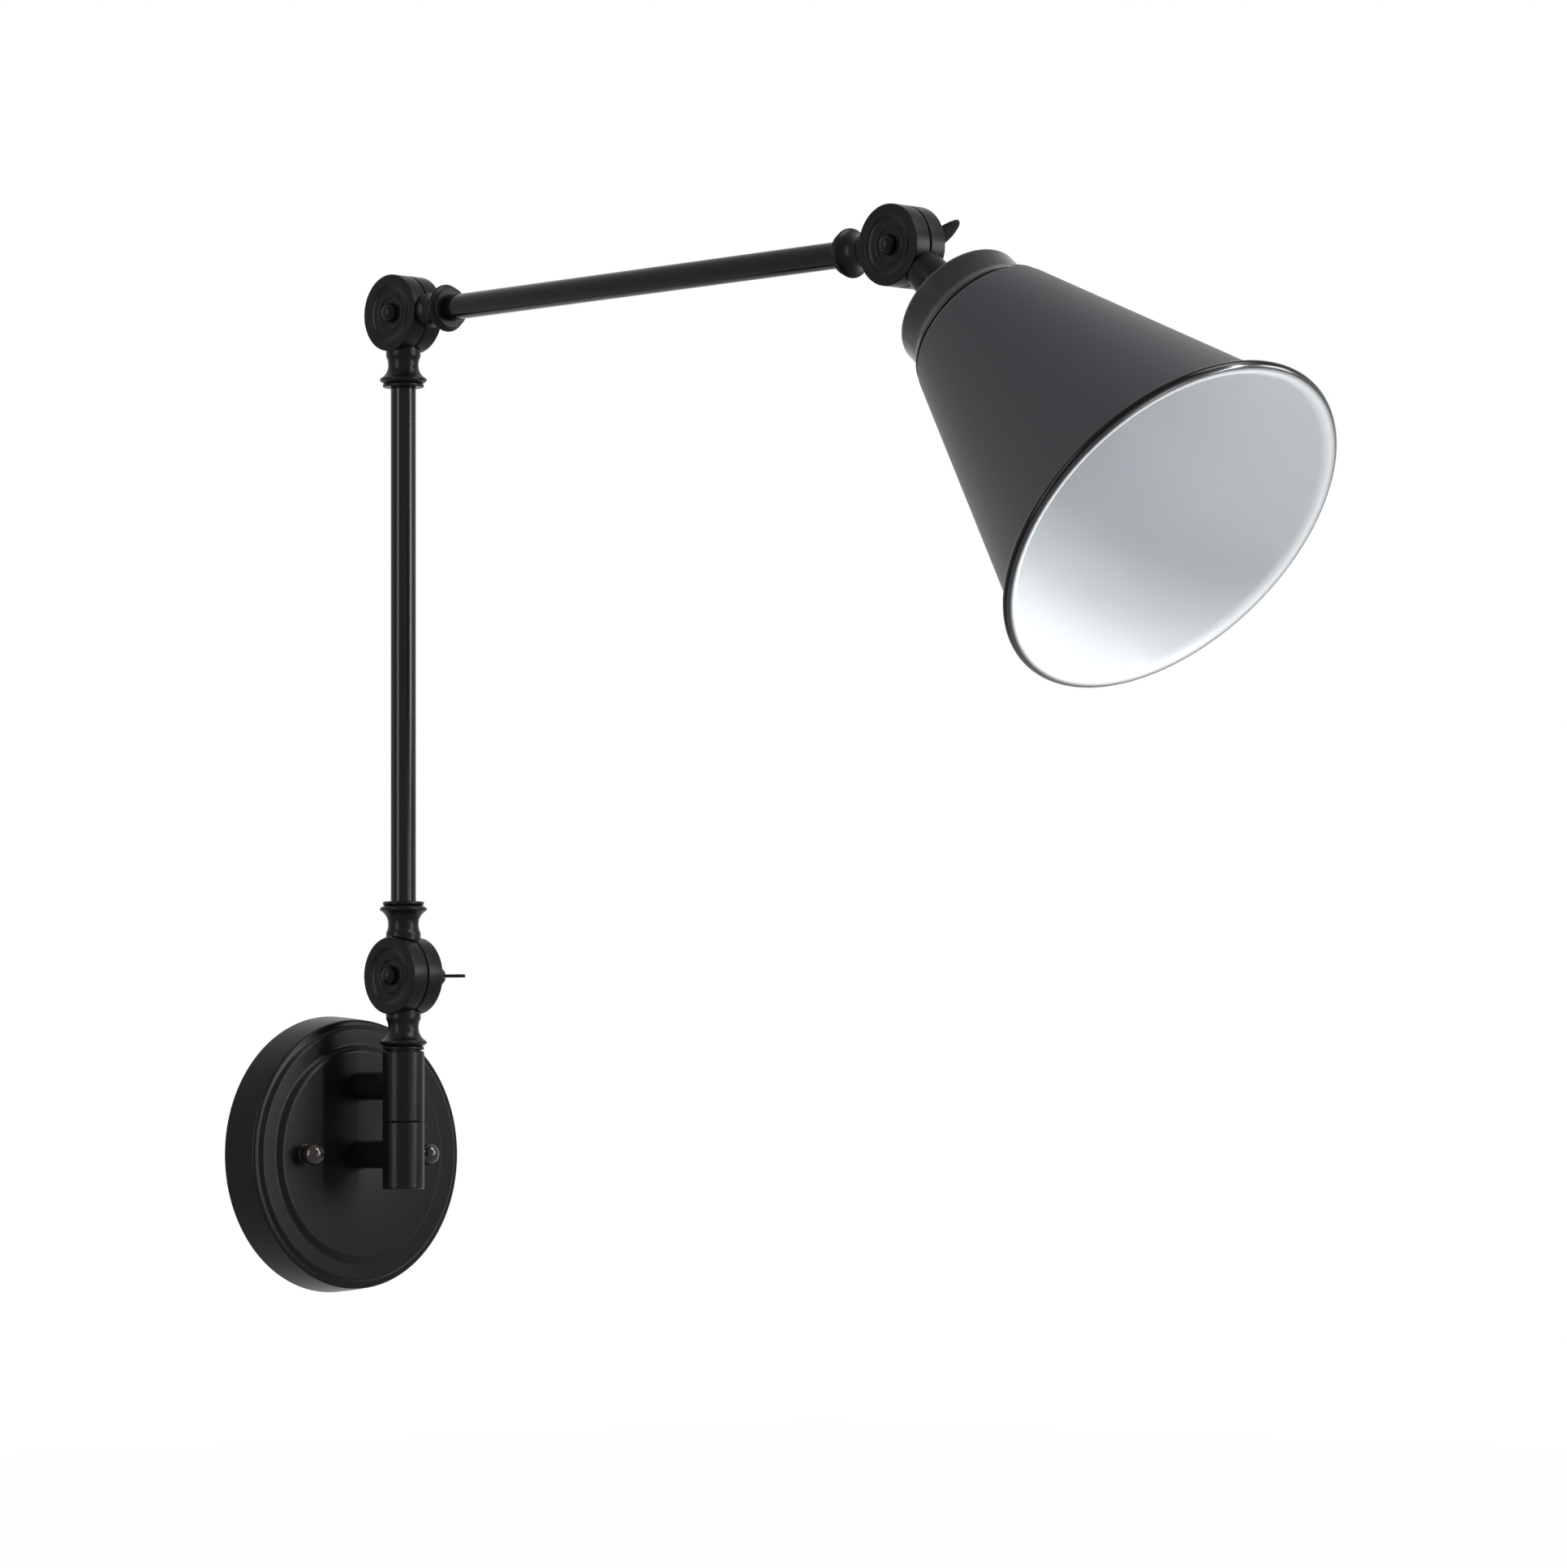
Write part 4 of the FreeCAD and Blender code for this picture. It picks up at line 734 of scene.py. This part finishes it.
# %% Cap and shade
CAP_BACK_R, CAP_ROUND = 28.6, 2.4
CAP_WAIST, CAP_LIP_R, CAP_LIP, COLLAR_R = CAP_FRONT - 8.4, 33.2, 1.0, 9.1
SHOULDER_R, TOP_R, SHOULDER = 34.6, 31.4, 2.6
CONE_R, FLARE_IN, FLARE_OUT = 72.7, 3.0, 5.6
HOLDER_R = 19.6
SLOPE = (CONE_R - SHOULDER_R) / (MOUTH - FLARE_OUT - CAP_FRONT - SHOULDER)
INNER_R = CONE_R + SLOPE * (FLARE_OUT - FLARE_IN) - SHADE_SHEET
cap = stand_in(turned("shade_cap_spun", [
    (NIPPLE_R, NECK), (COLLAR_R, NECK), (CAP_BACK_R - CAP_ROUND, CAP_BACK, 14),
    (CAP_BACK_R, CAP_BACK + CAP_ROUND, 74), (CAP_BACK_R - 0.1, CAP_WAIST),
    (CAP_LIP_R, CAP_FRONT - CAP_LIP, -50), (CAP_LIP_R - 0.8, CAP_FRONT - 0.1, 140),
    (CAP_BACK_R - SHEET, CAP_WAIST + 0.6, 40), (CAP_BACK_R - SHEET, CAP_BACK + CAP_ROUND),
    (CAP_BACK_R - CAP_ROUND, CAP_BACK + SHEET, -60), (COLLAR_R, NECK + SHEET, -14),
    (NIPPLE_R, NECK + SHEET),
], HEAD, SHADE_AXIS, around=192, edge=0.25, closed=True), "shade_cap")
dress(cap, SLOT_OF["shade_cap"], "cap_paint")
stand_in(turned("shade_spun", [
    (HOLDER_R + 0.3, CAP_FRONT), (TOP_R, CAP_FRONT), (SHOULDER_R, CAP_FRONT + SHOULDER, 70),
    (CONE_R, MOUTH - FLARE_OUT), (*on_bead(BEAD_BACK), -70), *bead_arc(BEAD_BACK, [0, 90, BEAD_FRONT], 0),
    (INNER_R, MOUTH - FLARE_IN, 50), (SHOULDER_R - SHADE_SHEET, CAP_FRONT + SHOULDER),
    (TOP_R, CAP_FRONT + SHADE_SHEET, -70), (HOLDER_R + 0.3, CAP_FRONT + SHADE_SHEET),
], HEAD, SHADE_AXIS, around=288, edge=0.15, closed=True), "shade")
print(f"shade mouth {2 * MOUTH_R:.0f} mm across")

# %% [markdown]
# Enamel runs thin over a sharp round and shows what is under it, so the white doesn't stop at a line:
# over the bead's crest it fades to black. The fade follows the distance from the shade's axis, which is
# the same all round the mouth.

# %% Enamel
RING_R, SUNK = 26.2, -0.2             # the hole for the shade ring, and how deep the coats are let in
FADE = BEAD[0] + np.array([-0.55, 0.35]) * BEAD_R      # distances where the fade begins and ends


def feather(material, full, gone):
    """The enamel's colour fades to black where the distance from the shade's axis, which is the
    length of the place with its share along the axis taken out, grows from full to gone."""
    shader = material.node_tree.nodes["Principled BSDF"]
    colour = shader.inputs["Base Color"].links[0].from_socket
    where = add(material, "ShaderNodeTexCoord").outputs["Object"]
    from_head = add(material, "ShaderNodeVectorMath", {0: where}, {1: HEAD * MM}, operation="SUBTRACT")
    along = add(material, "ShaderNodeVectorMath", {0: from_head.outputs[0]}, {1: SHADE_AXIS},
                operation="PROJECT")
    side = add(material, "ShaderNodeVectorMath", {0: from_head.outputs[0], 1: along.outputs[0]},
               operation="SUBTRACT")
    distance = add(material, "ShaderNodeVectorMath", {0: side.outputs[0]}, operation="LENGTH")
    share = add(material, "ShaderNodeMapRange", {"Value": distance.outputs["Value"]},
                From_Min=full * MM, From_Max=gone * MM)
    faded = add(material, "ShaderNodeMix", {FACTOR: share.outputs["Result"], FIRST: colour},
                {SECOND: linear("#0c0d10")}, data_type="RGBA")
    material.node_tree.links.new(faded.outputs[BLEND], shader.inputs["Base Color"])


def coat(name, corners, edge, finish):
    """A thin coat on the shade, which rides with it."""
    piece = turned(name, corners, HEAD, SHADE_AXIS, around=288, edge=edge, closed=True)
    piece.data.materials.append(FINISH[finish])
    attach(piece, BODY_OF["shade"])


feather(FINISH["white_enamel"], *FADE)
coat("shade_enamel", [
    (RING_R, CAP_FRONT + SHADE_SHEET), (TOP_R, CAP_FRONT + SHADE_SHEET),
    (SHOULDER_R - SHADE_SHEET, CAP_FRONT + SHOULDER, 70), (INNER_R, MOUTH - FLARE_IN),
    (*on_bead(BEAD_FRONT, SUNK), -50), *bead_arc(BEAD_FRONT, [90, ENAMEL_END], SUNK),
    tuple(on_bead(ENAMEL_END, 0.01)), *bead_arc(ENAMEL_END, [90, BEAD_FRONT], COAT),
    (INNER_R - COAT, MOUTH - FLARE_IN, 50), (SHOULDER_R - SHADE_SHEET - COAT, CAP_FRONT + SHOULDER),
    (TOP_R - COAT, CAP_FRONT + SHADE_SHEET + COAT, -70), (RING_R, CAP_FRONT + SHADE_SHEET + COAT),
], 0.05, "white_enamel")
coat("shade_rim_band", [
    tuple(on_bead(BEAD_BACK, 0.05)), *bead_arc(BEAD_BACK, [0, BAND_END], 0.05),
    tuple(on_bead(BAND_END, SUNK)), *bead_arc(BAND_END, [0, BEAD_BACK], SUNK),
], 0.02, "rim_black")

# %% [markdown]
# The lamp holder is glazed porcelain. Its brass shell has the round rope thread of a lamp base: the
# wall's radius follows a wave that climbs one pitch in each turn.

# %% Lamp holder, screw shell and contact
HOLDER_BACK = NECK + SHEET + 3.5
HOLDER_FRONT = HOLDER_BACK + 34
FLOOR, SHELF, SHELL_R = HOLDER_BACK + 9, HOLDER_BACK + 12, 14.1
BOSS_R, BOSS, WELL_R, WIRE_R = 11, 5.5, 9, 3.6
stand_in(turned("lamp_holder_cast", [
    (NIPPLE_R, HOLDER_BACK), (BOSS_R, HOLDER_BACK), (BOSS_R, HOLDER_BACK + BOSS), (HOLDER_R, FLOOR),
    (HOLDER_R, HOLDER_FRONT), (SHELL_R, HOLDER_FRONT), (SHELL_R, SHELF), (WELL_R, SHELF),
    (WELL_R, FLOOR), (WIRE_R, FLOOR), (WIRE_R, HOLDER_BACK + 5), (NIPPLE_R, HOLDER_BACK + 5),
], HEAD, SHADE_AXIS, around=128, edge=0.5, closed=True), "lamp_holder")

PITCH, WAVE, FADE_OUT, SHELL_WALL = 3.63, 0.42, 2.5, 0.35
SHELL_END = HOLDER_FRONT - 1.6
STATIONS = np.linspace(SHELF, SHELL_END, 61)


def rope_thread(x, y, z):
    """radius - wave * (1 - cos(2 pi (height / pitch) - angle)) / 2, fading out at both ends."""
    angle = np.arctan2(y, x)
    fade = np.clip(np.minimum(z - SHELF, SHELL_END - z) / FADE_OUT, 0, 1)
    share = 1 - WAVE * fade * (1 - np.cos(2 * np.pi * z / PITCH - angle)) / 2 / (SHELL_R - 0.4)
    return x * share, y * share, z


outside = [(SHELL_R, height) for height in STATIONS]
inside = [(SHELL_R - SHELL_WALL, height) for height in STATIONS[::-1]]
stand_in(turned("screw_shell_rolled", outside + inside, HEAD, SHADE_AXIS, around=96, edge=0,
                closed=True, reshape=rope_thread), "screw_shell")
CONTACT_R, CONTACT_THICK, TIP_R, TIP = 5, 0.8, 3, 2.36
stand_in(turned("centre_contact_pressed", [
    (0, FLOOR), (CONTACT_R, FLOOR), (CONTACT_R, FLOOR + CONTACT_THICK), (TIP_R, FLOOR + CONTACT_THICK),
    (0, FLOOR + TIP, 55),
], HEAD, SHADE_AXIS, around=64, edge=0.2), "centre_contact")
INSIDE = CAP_FRONT + SHADE_SHEET
FLANGE_WIDE, FLANGE_THICK, GRIP_R, GRIP_LONG = 26, 1.6, 22.6, 4
stand_in(turned("shade_ring_moulded", [
    (HOLDER_R, INSIDE), (FLANGE_WIDE, INSIDE), (FLANGE_WIDE, INSIDE + FLANGE_THICK),
    (GRIP_R, INSIDE + FLANGE_THICK), (GRIP_R, INSIDE + GRIP_LONG), (HOLDER_R, INSIDE + GRIP_LONG),
], HEAD, SHADE_AXIS, around=128, edge=0.35, closed=True), "shade_ring")

# %% [markdown]
# What is left is inside or behind the lamp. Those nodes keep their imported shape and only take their
# finish.

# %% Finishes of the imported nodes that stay
stay = [node for node in NODES if not NODES[node].hide_render]
for node in stay:
    NODES[node].data.materials.clear()
    NODES[node].data.materials.append(FINISH[SLOT_OF[node]])
print("packed shapes kept:", ", ".join(sorted(stay)))

# %% [markdown]
# ## The studio
#
# A large soft box from the front left makes the wide sheen on the poles, and a narrow strip on the far
# right the thin bright line. A box overhead models the shade, and two small ones near the head light
# the knuckle's side and reach into the shade's mouth. The floor and the world are white to the eye and
# to reflections. The floor lies below the head's lowest place at the arms' limits.

# %% Floor, world and lamps
FLOOR_DROP, FLOOR_SIZE = 0.95, 30.0      # metres
FLOOR_WHITE = 0.985                      # share of the floor's look that is plain white
AZIMUTH, ELEVATION, ROLL_ANGLE = -0.770045, -0.053279, -0.003007      # radians
EYE = np.array([-1.9804, -2.3304, 0.00082])                           # metres
FOCAL_PX, PICTURE_PX, SENSOR = 8479.46, 1932, 36.0

BACK = np.array([math.sin(AZIMUTH) * math.cos(ELEVATION), -math.cos(AZIMUTH) * math.cos(ELEVATION),
                 math.sin(ELEVATION)])
RIGHT = np.array([math.cos(AZIMUTH), math.sin(AZIMUTH), 0.0])
TALL = np.cross(BACK, RIGHT)


def floor_finish():
    """Pale plaster that the eye and reflections see as nearly white, so the backdrop has no edge."""
    material = bpy.data.materials.new("studio_floor_pale")
    material.use_nodes = True
    tree = material.node_tree
    tree.nodes["Principled BSDF"].inputs["Base Color"].default_value = linear("#e9e9e9")
    tree.nodes["Principled BSDF"].inputs["Roughness"].default_value = 0.9
    rays = add(material, "ShaderNodeLightPath").outputs
    seen = add(material, "ShaderNodeMath", {0: rays["Is Camera Ray"], 1: rays["Is Glossy Ray"]},
               operation="ADD")
    share = add(material, "ShaderNodeMath", {0: seen.outputs[0]}, {1: FLOOR_WHITE},
                operation="MULTIPLY", use_clamp=True)
    white = add(material, "ShaderNodeEmission", Strength=1.0)
    mixed = add(material, "ShaderNodeMixShader", {0: share.outputs[0], 2: white.outputs[0],
                                                  1: tree.nodes["Principled BSDF"].outputs[0]})
    tree.links.new(mixed.outputs[0], tree.nodes["Material Output"].inputs["Surface"])
    return material


half = FLOOR_SIZE / 2 / MM
drop = FLOOR_DROP / MM
studio_floor = build("studio_floor", [(-half, -half, -drop), (half, -half, -drop), (half, half, -drop),
                                      (-half, half, -drop)], [[0, 1, 2, 3]])
studio_floor.data.materials.append(floor_finish())

SKY = 0.21          # strength of the light that comes from all round
world = bpy.context.scene.world or bpy.data.worlds.new("studio")
bpy.context.scene.world = world
world.use_nodes = True
world.node_tree.nodes.clear()
rays = add(world, "ShaderNodeLightPath").outputs
seen = add(world, "ShaderNodeMath", {0: rays["Is Camera Ray"], 1: rays["Is Glossy Ray"]}, operation="ADD")
seen = add(world, "ShaderNodeMath", {0: seen.outputs[0], 1: rays["Is Transmission Ray"]}, operation="ADD",
           use_clamp=True)
soft = add(world, "ShaderNodeBackground", Color=(1, 1, 1, 1), Strength=SKY)
white = add(world, "ShaderNodeBackground", Color=(1, 1, 1, 1), Strength=1.0)
mixed = add(world, "ShaderNodeMixShader", {0: seen.outputs[0], 1: soft.outputs[0], 2: white.outputs[0]})
add(world, "ShaderNodeOutputWorld", {"Surface": mixed.outputs[0]})


def soft_box(name, right, back, up, distance, width, height, watts, middle=(0.0, -0.2, 0.2)):
    """A flat lamp that faces the middle of the object, or another place, from a direction of the camera."""
    away = right * RIGHT + back * BACK + up * TALL
    away /= np.linalg.norm(away)
    lamp = bpy.data.lights.new(name, "AREA")
    lamp.shape, lamp.size, lamp.size_y, lamp.energy = "RECTANGLE", width, height, watts
    holder = bpy.data.objects.new(name, lamp)
    bpy.context.scene.collection.objects.link(holder)
    holder.location = middle + away * distance
    holder.rotation_euler = Vector(away).to_track_quat("Z", "Y").to_euler()


soft_box("left_box", -0.79, 0.60, 0.21, 2.2, 0.7, 2.0, 35)
soft_box("right_strip", 0.95, 0.32, 0.21, 2.2, 0.15, 2.0, 38.5)
soft_box("top_box", 0.70, 0.20, 0.85, 2.2, 1.1, 1.1, 51)
soft_box("head_side_box", 1.0, 0.0, 0.05, 1.3, 0.35, 0.45, 6.5, middle=HEAD * MM)
soft_box("mouth_box", 0.75, 0.60, -0.35, 1.3, 0.35, 0.45, 3, middle=HEAD * MM)

# %% [markdown]
# ## The camera
#
# Its place and its long lens were worked out from the circles and edges of the photograph.

# %% Camera and finish
camera = bpy.data.objects.new("camera", bpy.data.cameras.new("camera"))
bpy.context.scene.collection.objects.link(camera)
camera.data.sensor_fit = "VERTICAL"
camera.data.sensor_width = camera.data.sensor_height = SENSOR
camera.data.lens = FOCAL_PX / PICTURE_PX * SENSOR
camera.data.clip_start, camera.data.clip_end = 0.1, 60
tilted_right = RIGHT * math.cos(ROLL_ANGLE) + TALL * math.sin(ROLL_ANGLE)
tilted_up = TALL * math.cos(ROLL_ANGLE) - RIGHT * math.sin(ROLL_ANGLE)
pose = np.eye(4)
pose[:3, 0], pose[:3, 1], pose[:3, 2], pose[:3, 3] = tilted_right, tilted_up, BACK, EYE
camera.matrix_world = Matrix(pose.tolist())
bpy.context.scene.camera = camera
bpy.context.scene.view_settings.view_transform = "Standard"
